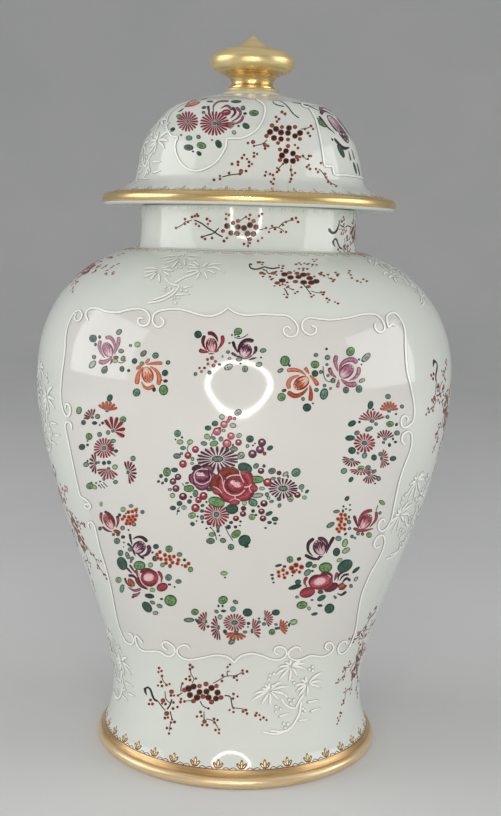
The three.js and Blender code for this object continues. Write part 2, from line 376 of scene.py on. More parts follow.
def smoothed(points, pieces=8):
    """A smooth path through points, given in pairs or as one row of numbers, across and down in turn."""
    p = np.asarray(points, float).reshape(-1, 2)
    if len(p) < 3:
        return p
    p = np.vstack([2 * p[0] - p[1], p, 2 * p[-1] - p[-2]])
    t = np.linspace(0, 1, pieces, endpoint=False)[:, None]
    runs = [0.5 * (2 * b + (c - a) * t + (2 * a - 5 * b + 4 * c - d) * t ** 2
                   + (3 * b - a - 3 * c + d) * t ** 3)
            for a, b, c, d in zip(p, p[1:], p[2:], p[3:])]
    return np.vstack(runs + [p[-2:-1]])


# How a stroke's half width goes from the brush's first touch, 0, to where it lifts, 1
STROKE_SHAPES = {
    "dab": lambda t: (4 * t * (1 - t)) ** 0.5,
    "leaf": lambda t: (4 * t * (1 - t)) ** 0.95,
    "petal": lambda t: np.minimum(1, 0.28 + 0.95 * t) * (4 * t * (1 - t)) ** 0.3,
    "comma": lambda t: (1 - 0.72 * t) * (4 * t * (1 - t)) ** 0.25,
    "swell": lambda t: (0.35 + 0.65 * np.sin(math.pi * t)) * (4 * t * (1 - t)) ** 0.2,
}
# What a cross cut of a stroke looks like: place across, share of its full height, and which load it carries.
# A plain one is a low ridge, an outlined one keeps the load of its edge for a while before it changes.
PLAIN_CUT = ((-1, None, 0), (-0.7, 0.78, 1), (0, 1, 2), (0.7, 0.78, 1), (1, None, 0))
OUTLINED_CUT = ((-1, None, 0), (-0.95, 0.84, 0), (-0.8, 0.94, 0), (-0.62, 0.97, 1), (0, 1, 2),
                (0.62, 0.97, 1), (0.8, 0.94, 0), (0.95, 0.84, 0), (1, None, 0))
# Rings along a stroke: shares of its half width near a line's end, pixels between a line's other rings, and
# how many rings a dab has that is shorter than so many pixels
END_MARKS = np.array([0, 0.12, 0.45])
LINE_STEP = 2.2
DAB_RINGS = ((5, 6), (14, 8), (math.inf, 14))
# From what width, and what difference between edge and middle, a stroke has the outlined cut
OUTLINED_WIDTH, OUTLINED_STEP = 1.8, 0.12
# A ridge keeps its height almost to its ends
END_FULLNESS = 0.25
# Each stroke lies a hair higher than the one before it, in mm, and after so many strokes this starts again
PILE_STEP, PILE_COUNT = 0.0007, 40


class Drawing:
    """Strokes by pigment, on the photograph's pixels."""

    def __init__(self):
        self.pigments = {}
        self.order = 0

    def stroke(self, pigment, points, width, load, shape="line", lift=0.1):
        """One closed stroke along a path. Load: how thick the colour is at edge, inside and middle."""
        path = smoothed(points)
        along = np.concatenate([[0], np.cumsum(np.hypot(*np.diff(path, axis=0).T))])
        length = along[-1]
        half = width / 2
        if shape == "line" and length > width:
            middle = np.linspace(half, length - half, max(2, int((length - width) / LINE_STEP) + 2))
            first = END_MARKS * half
            marks = np.concatenate([first, middle, length - first[::-1]])
            ends = np.minimum(np.minimum(marks, length - marks) / half, 1)
            shares = np.sqrt(1 - (1 - ends) ** 2)
        else:
            count = next(rings for longest, rings in DAB_RINGS if length < longest)
            t = (1 - np.cos(np.linspace(0, math.pi, count))) / 2
            marks = t * length
            shares = STROKE_SHAPES.get(shape, STROKE_SHAPES["dab"])(t)
        at = np.column_stack([np.interp(marks, along, path[:, k]) for k in (0, 1)])
        heading = np.gradient(at, axis=0)
        heading /= np.maximum(np.hypot(*heading.T), 1e-9)[:, None]
        side = np.column_stack([-heading[:, 1], heading[:, 0]])
        self.order += 1
        top = (lift + self.order % PILE_COUNT * PILE_STEP) * MM
        empty = {part: [] for part in ("points", "core", "lift", "load", "faces")}
        kept = self.pigments.setdefault(pigment, empty)
        base = len(kept["points"])
        rings = len(marks) - 2
        outlined = abs(load[0] - load[1]) > OUTLINED_STEP and width > OUTLINED_WIDTH
        cut = OUTLINED_CUT if outlined else PLAIN_CUT
        for i in range(1, rings + 1):
            kept["core"] += [len(kept["points"]) + len(cut)] * (len(cut) + 1)
            for across, height, zone in cut:
                kept["points"].append(at[i] + side[i] * across * half * shares[i])
                kept["lift"].append(SUNK if height is None else top * height * shares[i] ** END_FULLNESS)
                kept["load"].append(load[zone] if 1 < i < rings or shape == "line" else load[0])
            kept["points"].append(at[i])
            kept["lift"].append(UNDER)
            kept["load"].append(load[0])
        for end in (0, -1):
            kept["core"].append(len(kept["points"]))
            kept["points"].append(at[end])
            kept["lift"].append(SUNK)
            kept["load"].append(load[0])
        size = len(cut) + 1
        first, last = base + rings * size, base + rings * size + 1
        for k in range(size):
            n = (k + 1) % size
            kept["faces"].append((first, base + n, base + k))
            kept["faces"].append((last, base + (rings - 1) * size + k, base + (rings - 1) * size + n))
            for i in range(rings - 1):
                low, high = base + i * size, base + (i + 1) * size
                kept["faces"].append((low + k, low + n, high + n, high + k))


painted_on = {}


def keep(wall, pigment, places, kept):
    """Add laid strokes to the painting in their pigment on the wall's body."""
    store = painted_on.setdefault((wall["body"], pigment), {"xyz": [], "load": [], "faces": [], "count": 0})
    store["xyz"].append(places)
    store["load"].append(np.array(kept["load"]))
    store["faces"] += [tuple(v + store["count"] for v in face) for face in kept["faces"]]
    store["count"] += len(places)


# Where a sight line grazes the wall a stroke's cut would smear far round: it keeps near the brush's own width
BRUSH_SPREAD = 1.8
PIXEL_FACE_ON = 0.56 * MM


def lay(drawing, wall, places):
    """Lay a drawing on a wall at each place, a function from its traced spots to (wall, spots)."""
    for pigment, kept in drawing.pigments.items():
        pixels, core = np.array(kept["points"]), np.array(kept["core"])
        spots = traced(wall, pixels)
        aside = spots - spots[core]
        wide = np.hypot(aside[:, 0] * np.interp(spots[:, 1], wall["s"], wall["r"]), aside[:, 1])
        widest = BRUSH_SPREAD * PIXEL_FACE_ON * np.hypot(*(pixels - pixels[core]).T)
        spots = spots[core] + aside * np.minimum(1, widest / np.maximum(wide, 1e-9))[:, None]
        for place in places:
            new_wall, new_spots = place(spots)
            keep(new_wall, pigment, on_wall(new_wall, *new_spots.T, np.array(kept["lift"])), kept)


jar_wall = wall_of("jar", jar_outline, (93, 8.19), (70.9, 358.6))
cover_wall = wall_of("cover", cover_outline, (90.7, 367.35), (19.8, 431.8))

# Widths are in the photograph's pixels, heights in millimetres
# A cord's load is low at its edges, where the grey is painted shade along both sides of the white crest
CORD_WIDTH, CORD_HEIGHT, CORD = 2.6, 0.5, (0.14, 0.96, 1.0)
# A bamboo blade's edges carry painted shade as well, lighter than a cord's
BLADE = (0.3, 1.0, 1.0)
FRAME_CORDS = [
    [76.8, 313.5, 74.8, 317.5, 77, 321.3, 80.6, 319.5, 82.4, 315, 80.3, 310.7, 76.3, 311.6, 72.4, 316,
     69.7, 321.5, 67.3, 328.5, 65.8, 338, 65.2, 350, 63.8, 362, 62, 376, 61, 395, 63, 409, 67, 416.5,
     70.5, 413, 70, 406, 66.5, 403.5, 65.5, 409],
    [88.5, 320.5, 86.3, 316.5, 86.8, 311.5, 91, 308.6, 95, 308.2, 100, 309.2, 106, 311.5, 118, 312.5,
     129, 310, 140, 309, 147, 312, 150, 318, 148, 324.5, 142.5, 326, 138, 322.5, 139.5, 318, 144, 319],
    [160, 317, 164, 321, 162, 326, 157, 327, 153, 322, 154, 315, 160, 311, 170, 309.5, 180, 309.5, 190, 312,
     200, 315, 210, 316.5, 218, 314.5, 223.5, 311.5, 228, 308],
    [228, 308, 233, 311.5, 238.5, 314, 248, 315.5, 260, 314.5, 275, 315, 287, 316, 294, 321, 298, 328,
     296, 335, 290, 337, 284.5, 334, 283.5, 329, 287.5, 326.5, 290.5, 329.5],
    [311, 325.5, 316, 328, 315.5, 332.5, 311, 335, 305.5, 333, 302, 328, 303, 321.5, 309, 318, 318, 319,
     330, 320, 340, 319, 350, 317.5, 360, 315, 370, 314, 376, 315, 381, 319, 384, 325, 384, 330, 380, 332.5,
     376, 330, 374.5, 326, 376, 323],
    [395, 326, 391, 324, 389, 328, 387, 323, 386.5, 317, 390, 313.5, 394, 313, 398, 316, 402, 322,
     404.8, 331, 405.3, 350, 406.8, 370, 411, 388, 414, 405, 413.5, 419, 409.5, 425, 403.5, 427.5, 401, 424,
     401.5, 418, 405, 415.5, 408, 418.5, 406.5, 421.5],
    [404.5, 444.5, 401.7, 441, 402, 436, 405, 432.3, 409, 431.2, 411.5, 435, 411.3, 445, 408.5, 455,
     404.5, 465, 401, 475, 398, 486, 395.5, 498, 393.5, 508, 391, 519, 387, 527, 382.5, 530.8, 379, 529.8,
     378, 525, 380, 520.5, 383.5, 518.8, 384.5, 522],
    [380, 546, 376, 547.5, 373.5, 545, 376, 538.5, 380, 535, 383.5, 536, 384.5, 542, 382, 551, 377.5, 560.5,
     372, 570, 368, 578, 363.5, 589, 360.3, 600, 358, 613, 355.5, 629, 351.5, 641, 346.5, 650, 341, 654,
     338, 651.5, 338.3, 646, 342, 641.8, 346, 641.3, 346.5, 645],
    [329, 650, 325, 648, 326, 643.8, 330, 642.3, 333.3, 646, 332, 651, 327, 655, 320, 656.5, 311, 655.3,
     304, 658, 297, 660, 291, 658.3, 288, 654, 290, 649.8, 294.5, 647, 299, 647.2, 300.5, 651],
    [278.5, 654.5, 274.3, 652, 275, 648, 280, 646.3, 285, 648.8, 286.3, 654, 283, 658, 277, 659.7,
     270, 658.7, 262, 655.5, 252, 653.3, 243, 655, 238, 658, 234.3, 662.5],
    [234.3, 662.5, 230, 658, 224, 655.5, 215, 655, 205, 657, 194, 659, 186, 659, 180, 656, 177.3, 651.5,
     178.5, 647.5, 182.5, 645, 187.5, 645.3, 190, 648.5],
    [167.5, 650, 163.5, 647, 162.5, 643.5, 165.5, 641.3, 170, 643.2, 174, 647, 175.2, 652, 171, 656,
     165.5, 655, 160, 651.5, 152, 651, 145, 651, 139.5, 648, 136.5, 642, 135.5, 635.5, 138.5, 637, 143, 643],
    [128.5, 633, 131.5, 634, 134, 640, 132, 644, 126.5, 641.5, 121.5, 632.5, 118, 622, 115, 608, 112, 592,
     108.5, 577, 104.5, 563, 100, 548, 97, 535, 94.5, 525, 91, 521.5, 88.5, 524, 90, 529],
    [89, 504.5, 86, 503.5, 85, 506.5, 88.5, 509, 91, 506, 87, 500, 81, 496, 78, 486, 74.5, 470, 70.5, 451,
     67, 434, 65.5, 425, 68, 421.3, 71.5, 424, 72, 430],
]
# The panel's edge once round, corner by corner, where the ground's tint changes under the cords
PANEL_EDGE = [
    79, 311.5, 106, 311.5, 140, 309, 155, 311, 190, 312, 228, 308, 260, 314.5, 300, 320, 330, 320, 370, 314,
    392, 313, 402, 322, 405.3, 350, 411, 388, 413.5, 419, 407, 430, 411.3, 445, 404.5, 465, 398, 486,
    393.5, 508, 386, 529, 383, 540, 377.5, 560, 368, 578, 360.3, 600, 355.5, 629, 348, 650, 335, 647,
    320, 656.5, 297, 660, 281, 650, 262, 655.5, 234.3, 662.5, 205, 657, 186, 659, 175, 648, 165, 655.5,
    145, 651, 136, 636, 121.5, 632.5, 112, 592, 104.5, 563, 97, 535, 90, 515, 80, 496, 74.5, 470, 67, 434,
    66, 419, 61, 395, 63.8, 362, 65.8, 338, 69.7, 321.5,
]
# Bamboo leaves, from each joint to their tips, and the ones that lie loose beside the stem. A blade starts
# and ends a little further out than drawn, and hangs by a share of its reach
BLADE_START, BLADE_END, BLADE_DROOP = 0.06, 1.1, 0.06
BAMBOO_FANS = [
    ((290.5, 665.5), [279, 666.8, 275.5, 674.5, 279.3, 679, 288.5, 681.7, 297, 676.3, 305, 669, 304, 663.3,
                      300.5, 661, 285, 661.7, 290.5, 659.5]),
    ((307, 683.5), [295, 685.3, 296.3, 690.5, 298.5, 695, 306.5, 695.3, 319.7, 687.5, 321.3, 681,
                    320.7, 672.7, 300.7, 679, 305.5, 676]),
    ((269.5, 690.5), [254.3, 693.7, 252, 700.3, 261.3, 703.7, 269.3, 704.3, 277.7, 699.3, 285.3, 695,
                      287.7, 686.3, 280.3, 681.7, 265.3, 684, 261.7, 688.3, 269.3, 682.7]),
]
BAMBOO_LOOSE = [
    ((306, 702.5), (319.5, 699.3)), ((309.5, 711.7), (320.7, 707.3)), ((297, 720.5), (310, 719)),
    ((278, 717), (289, 712.3)),
]
BAMBOO_STEMS = [
    [275, 691, 281, 691.8, 287, 697], [281, 698, 284, 703, 289, 707, 295.5, 708.3],
    [303.5, 694, 299, 701, 295.5, 708.3],
    [301, 702, 299.5, 712, 296, 720, 291, 727, 284, 731.5, 275, 734, 263, 732],
    [289, 730, 280, 731.5, 270, 730.6],
]
BAMBOO_DOTS = [
    270, 675, 274, 673.5, 269, 679, 272.5, 685.5, 292, 679.5, 294, 682.7, 309, 669, 312.5, 666.5,
    312.5, 670.3, 289, 699.5, 293.5, 700, 290.5, 703.5, 276, 706.5, 280.5, 709, 275.5, 711.5, 302.7, 708.3,
    304.7, 710.5, 302, 713.2, 283.5, 723.3, 287.7, 724, 285, 727.6,
]
BAMBOO_ANCHOR = (287, 697)
# The flatter bamboo of the shoulder: leaves, from their joint to the tip, then stems, loose leaves and dots
SHOULDER_LEAVES = [
    [178.5, 256.4, 169, 256.6, 160, 258.7], [178.5, 258.2, 171, 259.2, 160.5, 260.5],
    [179, 259.2, 172, 261.4, 164.5, 264.6], [180, 259.5, 176.5, 263, 171, 269.5],
    [184, 259, 184.5, 262, 185.2, 266.5], [186, 256.9, 193, 256.2, 201, 257.6],
    [185.5, 258.3, 190, 259.3, 196, 261.3], [183.3, 257, 183.8, 253.8], [180, 257, 178, 254.6],
    [158.5, 270, 152, 268.2, 143, 269.9], [157.5, 271.3, 151, 271.9, 143, 273],
    [156, 272.4, 150, 275, 143.5, 278.3], [157.3, 272.8, 153.5, 276, 150.8, 280.6],
    [158.6, 272.8, 159.3, 277, 159.6, 283.5], [161.4, 270.3, 167, 270.1, 174, 271.6],
    [161.8, 271.6, 166, 273.4, 170.5, 277], [161, 269.2, 165, 267.8, 170.5, 267],
    [206.5, 267.2, 213, 264.4, 223, 264.6], [206.5, 268.4, 215, 268, 225, 272.8],
    [206, 270.3, 210.5, 271.5, 216, 274.5], [203.6, 271.3, 205.5, 275, 207.8, 280],
    [201, 272, 198.5, 275, 196, 279.8], [199.5, 270.6, 192.5, 271, 184, 273.6],
    [199.6, 269, 194, 268, 187, 268.3], [201.6, 268.2, 204.5, 265.8, 209, 263],
    [198, 267.2, 193, 265.5, 186.5, 264.2], [200, 266.8, 196, 263.8, 191, 261.4],
]
SHOULDER_STEMS = [
    [165.5, 277.5, 167, 281, 170, 283.6, 175, 285.4, 179.5, 286],
    [199, 271.5, 192, 274.8, 186, 276.8, 180, 280, 174.5, 283.3],
    [179.5, 286, 177, 290, 172, 295, 164, 299.6, 156, 302, 147.5, 303.3],
    [175, 289, 167, 295, 160, 297.8, 153, 300.2],
]
SHOULDER_LOOSE = [
    ((182, 288.2), (192.5, 286.2)), ((175.3, 294.9), (190.5, 294.2)), ((172.3, 297.3), (172.2, 301.4)),
    ((174.6, 296.8), (174.8, 300.4)),
]
SHOULDER_DOTS = [
    180.2, 265.2, 181.3, 267.7, 176.3, 268.4, 165.5, 287.3, 164.5, 290.6, 169.8, 288.4, 181.5, 290.7,
    186.2, 291.2, 178.6, 298.1, 175.5, 303.2,
]


def dot(drawing, pigment, x, y, radius, load, lift=0.1, flat=1.0):
    """A round dab. Flat is how low it looks in the view."""
    drawing.stroke(pigment, [(x - radius, y), (x + radius, y)], 2 * radius * flat, load, "dab", lift)


def bamboo_of(strokes, dots, dot_radius, dot_height, flat):
    """A bamboo from its strokes of slip, given as (shape, width, height, paths), and its dots."""
    drawing = Drawing()
    for shape, width, height, paths in strokes:
        for path in paths:
            drawing.stroke("white_slip", path, width, BLADE, shape, height)
    for x, y in np.reshape(dots, (-1, 2)):
        dot(drawing, "white_slip", x, y, dot_radius, BLADE, dot_height, flat)
    return drawing


slip_frame = Drawing()
for cord in FRAME_CORDS:
    slip_frame.stroke("white_slip", cord, CORD_WIDTH, CORD, lift=CORD_HEIGHT)
blades = []
for joint, tips in BAMBOO_FANS:
    for tip in np.reshape(tips, (-1, 2)):
        start, end = joint + (tip - joint) * BLADE_START, joint + (tip - joint) * BLADE_END
        across, down = end - start
        blades.append([start, (start + end) / 2 + (BLADE_DROOP * down, -BLADE_DROOP * abs(across)), end])
bamboo_strokes = [("leaf", 3.1, 0.6, blades), ("comma", 3.3, 0.6, BAMBOO_LOOSE),
                  ("line", 2.7, 0.45, BAMBOO_STEMS)]
bamboo = bamboo_of(bamboo_strokes, BAMBOO_DOTS, 1.8, 0.6, 1)
shoulder_strokes = [("leaf", 2.4, 0.55, SHOULDER_LEAVES), ("line", 2.2, 0.45, SHOULDER_STEMS),
                    ("comma", 2.7, 0.5, SHOULDER_LOOSE)]
shoulder_bamboo = bamboo_of(shoulder_strokes, SHOULDER_DOTS, 1.7, 0.5, 0.75)
FRONT_AND_BACK = (0, 180)


def repeated(wall, angles=FRONT_AND_BACK):
    """Places for a traced drawing: turned round its own piece by each angle in degrees."""
    return [lambda spots, turn=turn: (wall, spots + np.array([math.radians(turn), 0])) for turn in angles]


def moved(wall, anchor, new_wall, around, along, turn=0, size=1):
    """Places for a traced drawing, turned and scaled: its anchor pixel at an angle in degrees and a distance
    up a wall in mm, and again behind."""

    def place(half):
        spot = (around + half, along, turn, size)
        return lambda spots: (new_wall, carried(spots, wall, anchor, new_wall, *spot))

    return [place(half) for half in FRONT_AND_BACK]


lay(slip_frame, jar_wall, repeated(jar_wall))


def depth_inside(points, corners):
    """How far inside a closed outline each point lies, negative outside it."""
    starts, ends = corners, np.roll(corners, -1, axis=0)
    nearest = np.full(len(points), np.inf)
    crossings = np.zeros(len(points), int)
    for a, b in zip(starts, ends):
        share = np.clip((points - a) @ (b - a) / ((b - a) @ (b - a)), 0, 1)
        nearest = np.minimum(nearest, np.hypot(*(points - a - share[:, None] * (b - a)).T))
        straddles = (a[1] > points[:, 1]) != (b[1] > points[:, 1])
        crossing_x = a[0] + (points[:, 1] - a[1]) / (b[1] - a[1] + 1e-12) * (b[0] - a[0])
        crossings += straddles & (points[:, 0] < crossing_x)
    return np.where(crossings % 2, nearest, -nearest)


# The ground inside the frames fired greyer than the green-tinged ground outside them. Angles count as metres
# at a radius of 0.12 m here
corners = traced(jar_wall, PANEL_EDGE)
flatten = np.array([0.12, 1.0])
jar_points = np.empty(len(jar.data.vertices) * 3)
jar.data.vertices.foreach_get("co", jar_points)
x, y, z = jar_points.reshape(-1, 3).T
front_angle = (np.arctan2(x, -y) + math.pi / 2) % math.pi - math.pi / 2
unrolled = np.column_stack([front_angle, np.interp(z, jar_wall["z"], jar_wall["s"])])
depths = depth_inside(unrolled * flatten, corners * flatten)
jar.data.attributes.new("panel", "FLOAT", "POINT").data.foreach_set("value", depths)

# The plum branches
# Sprays of blossom in iron brown and manganese black, quickly dabbed: a black hooked branch, thin twigs,
# round petals in a cluster and a scatter of small buds. They fill the ground between the panels.
BRANCH_LOAD, PETAL_LOAD = (1, 1, 0.95), (0.6, 1, 1)
RED_PETAL_LOAD, BUD_LOAD = (0.62, 0.7, 0.58), (0.55, 0.72, 0.78)
# A branch is (width, path), and the dabs are given by their middles
BODY_PLUM = {
    "branches": [
        (4.4, [144.8, 687.5, 145.4, 692, 146.8, 695.5]),
        (2.3, [145, 688.4, 148, 687.3, 150.5, 690, 153, 697, 155, 700, 158, 701.2]),
        (1.1, [158, 701.2, 161, 705.5, 165.5, 710.5]), (1.7, [167, 709.5, 170, 705, 172, 699]),
        (0.9, [165, 691, 166, 699, 171, 704]), (0.8, [161.5, 677, 164, 682, 167, 685]),
        (0.9, [192, 683, 194, 679, 191, 674, 190, 668]), (2, [194.5, 678.5, 197, 678.7]),
        (1.1, [181, 692, 181, 687.5, 182, 684]), (1.2, [178, 695.6, 182.5, 692.6]),
        (1.1, [200, 701, 203, 706, 208, 708.5]),
        (0.9, [213, 683.5, 220, 679.5, 226, 676.2, 235, 675.6, 242, 672.5]),
        (1.1, [227.6, 676, 227, 671.8, 230, 671]),
        (1.3, [224.5, 695.5, 230, 696.5, 231.5, 702, 232.5, 707.5]),
        (0.9, [233, 708, 240, 708.4, 246, 710]), (1, [204, 711.5, 204, 720]),
        (0.9, [206, 719, 211, 720, 215, 723, 218, 728]), (1.2, [170, 711, 172, 719]),
        (0.8, [170.5, 722, 169.3, 731]), (0.7, [185, 701, 194, 700.5]),
    ],
    "petals": [193.5, 686.5, 188.5, 688.5, 199.5, 692, 206.5, 691.5, 211.5, 688, 217.5, 692.5, 190, 695,
               197, 697.5, 208.5, 697.5, 216, 698.5],
    "red_petals": [184.5, 690, 199.5, 686, 206, 684, 216.5, 686, 203, 696.5, 221, 697.5, 193.5, 701,
                   211.5, 702, 166.7, 713.5, 163, 700.5, 171.5, 691.7, 204.5, 721.5],
    "buds": [
        159, 668, 161.5, 671, 158.5, 672, 162, 676, 161, 682, 158, 685.5, 162, 686, 166.5, 685, 169.5, 684,
        171, 695.5, 174, 695.5, 162, 703.5, 165.5, 704, 150.5, 700, 149, 704, 152.5, 704, 173.5, 702.5,
        173, 708.5, 177.5, 707, 181, 699, 180.5, 702, 184.5, 701.5, 182.5, 683.5, 190, 665, 192.5, 667,
        190, 669, 189.5, 676.5, 190, 680, 186, 679, 196, 678.5, 222.5, 675.5, 222, 681, 227.5, 667,
        230, 664.5, 236.5, 676, 234, 677.5, 237, 680, 242.5, 670.5, 243, 673.5, 247, 671.5, 233.5, 694,
        237.5, 696.5, 233, 698.5, 229.5, 710, 233.5, 708, 233.5, 712, 243, 711.5, 246, 710, 247, 713.5,
        256.5, 713, 255.5, 715.5, 259.5, 715, 263.5, 717.5, 260.5, 719.5, 266.5, 720, 165, 718, 168, 717.5,
        172, 719.5, 171, 722.5, 174.5, 722, 167, 728, 171, 728.5, 169, 733.5, 200.5, 712, 197, 716.5,
        201.5, 716, 202.5, 725, 207, 725, 214, 719, 217.5, 720, 214.5, 722.5, 215.5, 730, 219, 729.5,
        219, 733, 208.5, 708.5, 178, 695.5,
    ],
}
PLUM_ANCHOR = (203, 697)
NECK_PLUM = {
    "branches": [
        (1.5, [194, 220, 201, 223, 208, 228, 214, 231.5, 218, 234.5, 223, 237]),
        (1.3, [203, 236.6, 208, 235, 213, 233.5, 219, 228]), (1, [176, 228, 182, 225, 186, 221]),
        (0.9, [186, 222, 192, 220]), (0.9, [240, 221, 244, 218, 247, 217]),
        (0.9, [246, 236, 248, 240, 248, 245]), (0.9, [259, 230, 267, 228]),
        (0.9, [269, 229, 276, 227, 281, 229, 284, 231.5]), (0.9, [279, 227, 283, 223, 288, 221, 294, 220]),
    ],
    "petals": [
        227, 226, 231, 233, 238, 227, 237, 233.5, 244, 228, 247.5, 233.5, 250, 225, 256, 227, 253.5, 234,
    ],
    "red_petals": [223, 231, 238, 221, 253.5, 221, 250, 239, 233, 223],
    "buds": [
        185, 219, 188, 222, 185, 224, 176, 228, 195, 216, 197, 214, 192, 217, 198, 216, 196, 224, 199, 226,
        207, 219, 210, 221, 208, 224, 226, 214, 229, 215, 226, 219, 202, 237, 205, 239, 212, 238, 224, 241,
        227, 238, 246, 217, 250, 215, 249, 219, 259, 216, 262, 214, 244, 244, 248, 246, 250, 243, 258, 241,
        262, 238, 266, 228, 269, 232, 272, 226, 275, 229, 283, 225, 286, 222, 281, 232, 286, 232, 292, 219,
        296, 218, 298, 222,
    ],
}
COVER_PLUM = {
    "branches": [
        (1.2, [284, 106.5, 276, 104.5, 272.5, 101.5, 277, 100.5, 283, 102.5, 288, 107, 293, 113.5,
               299, 118]),
        (1.2, [222, 177, 230, 175, 238, 174, 243, 173]), (0.9, [255, 145.5, 262, 144, 267, 140]),
        (0.9, [301, 129, 306, 128.5, 312, 126]), (0.9, [302, 156, 306, 159, 309, 160]),
        (1, [319, 169, 323, 173, 326, 178, 331, 183, 337, 185.5]), (0.8, [291, 165, 291, 172, 292, 177]),
        (0.8, [282, 165, 278, 169]),
    ],
    "petals": [276, 129, 270, 132, 274, 138, 281, 132.5, 281, 139, 288, 133, 289, 128, 295, 136, 300, 133,
               286, 151, 282, 155.5, 293, 153.5, 286, 161, 293, 161],
    "red_petals": [272, 125.5, 282, 127, 266.5, 136, 278, 143, 288, 146, 288, 139.5, 295, 127, 300, 139,
                   280, 149.5, 280, 160, 265, 145, 253, 142, 241, 171, 297, 157],
    "buds": [
        282, 112, 285, 114, 276, 117, 279, 119, 277, 121.5, 305, 129, 311, 126, 313, 129, 308, 133,
        310, 136, 268, 146, 265, 148.5, 254, 146, 248, 143, 254, 153, 257, 154, 254, 156.5, 244, 155,
        242, 158, 247, 159, 238, 162, 238, 165, 232, 164, 249, 162, 252, 164, 249, 166, 229, 173, 240, 174,
        246, 171, 220, 176, 220, 179, 214, 180, 266, 172, 270, 174, 265, 175.5, 273, 175, 277, 172,
        274, 179, 271, 182, 273, 184, 277, 168, 279, 170, 283, 164, 291, 170, 292, 175, 295, 173, 291, 179,
        290, 182, 300, 157, 298, 160, 303, 156, 309, 156, 308, 159, 311, 156, 307, 167, 310, 169, 309, 165,
        316, 169, 318, 172, 321, 163, 324, 164.5, 326, 177.5, 325, 174, 328, 182, 331, 184, 336, 186.5,
        295, 145, 298, 148,
    ],
}
SHOULDER_PLUM = {
    "branches": [
        (3.2, [252.3, 264.4, 249.5, 264.2, 249.6, 267]),
        (1.7, [249.3, 265.5, 250.3, 267.6, 253, 268.9, 256, 269.2, 260, 268.5, 264, 266.8, 268, 267.8,
               272, 268.5, 276, 268, 280, 267.3]),
        (1.2, [262, 268.8, 265, 270.3, 267.3, 270.8, 267.3, 273, 270, 273.7, 273.5, 273]),
        (1.2, [284, 288, 286, 291, 287.5, 294]), (1, [302, 283, 306, 287.5, 310.5, 293.5]),
        (0.8, [287, 286, 290, 288.5, 293, 289.5]), (0.7, [311, 291, 316, 292.5, 320, 293]),
        (0.7, [321, 273, 324, 276.5]), (0.7, [327.5, 277.5, 331, 279, 334, 279.5]),
        (0.7, [298, 262.5, 301, 264.3]), (0.8, [313, 264.5, 311.5, 267]),
    ],
    "petals": [284.5, 274.4, 290.5, 277.5, 298.5, 277, 303.7, 282.4, 282.3, 280.6, 303.3, 274.8,
               309.7, 278.2, 311.3, 282.7, 316, 281.4],
    "red_petals": [289.5, 272.7, 297, 273.3, 295.5, 281.6, 308.3, 286.6, 261.5, 273, 259, 262.2,
                   273.3, 273.2, 277.2, 283, 308, 274.2],
    "buds": [
        263, 262.5, 262, 264.4, 279, 265.3, 283, 266, 282.5, 268.4, 281.5, 271.2, 276, 271.8, 276.5, 275,
        264.5, 274, 263, 276.5, 270, 276.8, 272.8, 278.5, 271.3, 279.5, 280, 285.5, 282.5, 284.3,
        285.3, 285, 274.5, 286, 287, 287.5, 288.5, 286, 287.3, 282.5, 293, 289.6, 295, 293.3, 297.5, 291.8,
        284, 294.3, 286.7, 297.3, 287.8, 294.5, 301.3, 287.3, 310.7, 293.8, 313.7, 295.2, 311.5, 296.8,
        321, 292.3, 324, 292.3, 323, 294.5, 326.8, 298.5, 329.3, 300, 327.7, 302.2, 335, 302, 338, 303.5,
        296, 264.3, 299, 263, 301, 264.5, 304.3, 263.3, 307.5, 264.3, 309, 263.5, 312.7, 259.5,
        316.5, 259.5, 314.3, 261.3, 312.7, 264.5, 316.5, 265, 299, 268.8, 303.5, 268.5, 303, 270.3,
        307.3, 269, 294.3, 271, 314.3, 276.5, 319.3, 273.5, 321.5, 272.5, 320.5, 274.6, 324, 275.8,
        328, 274.7, 331, 278.5, 334.3, 279.8, 333, 281.3, 335.5, 272.5, 337.3, 274.5, 339, 274,
        337.5, 275.8, 349.5, 270.8, 350.8, 275, 351.8, 278, 348.8, 273, 357.3, 281, 360.8, 282.3,
        363.3, 279.3, 366.8, 281.2,
    ],
}
# The hook that starts the spray on either side of the neck, bolder than the others
NECK_HOOK = [(329.3, 228), (330, 231), (333, 233), (336, 231.6), (338.3, 226.5), (339.3, 222)]
NECK_HOOK_DABS = [
    ((339.2, 219.5), (339.2, 225)), ((341.4, 219), (341.4, 223.5)), ((339, 224.6), (345, 227.6)),
    ((345, 227.6), (348.5, 225)), ((347, 225.3), (353.5, 228)), ((341.3, 228), (341, 230)),
    ((341.2, 231.5), (341.4, 233.5)), ((339.6, 228.5), (339.7, 230.3)),
]


# The dabs of a plum: load, height, and the least and most that one's radius may be. A petal's are shares of
# its plum's petal radius, a bud's are pixels
PLUM_DABS = {"petals": (PETAL_LOAD, 0.13, 0.94, 1.08), "red_petals": (RED_PETAL_LOAD, 0.1, 0.74, 0.86),
             "buds": (BUD_LOAD, 0.09, 1.25, 1.7)}
HOOK_WIDTH, BLACK_WIDTH, BRUSH_WET = 3, 1.15, 0.15


def plum(parts, petal_radius, flat=1.0):
    """One plum spray, from its branches and dabs. Thick branches are black, and the hook is a comma."""
    spray = Drawing()
    spread = random.Random(len(parts["buds"]) // 2)
    for width, path in parts["branches"]:
        pigment = "manganese_black" if width > BLACK_WIDTH else "plum_brown"
        shape = "comma" if width > HOOK_WIDTH else "line"
        spray.stroke(pigment, path, width + BRUSH_WET, BRANCH_LOAD, shape, 0.07)
    for kind, (load, height, least, most) in PLUM_DABS.items():
        full = 1 if kind == "buds" else petal_radius
        for x, y in np.reshape(parts[kind], (-1, 2)):
            dot(spray, "plum_brown", x, y, full * spread.uniform(least, most), load, height, flat)
    return spray


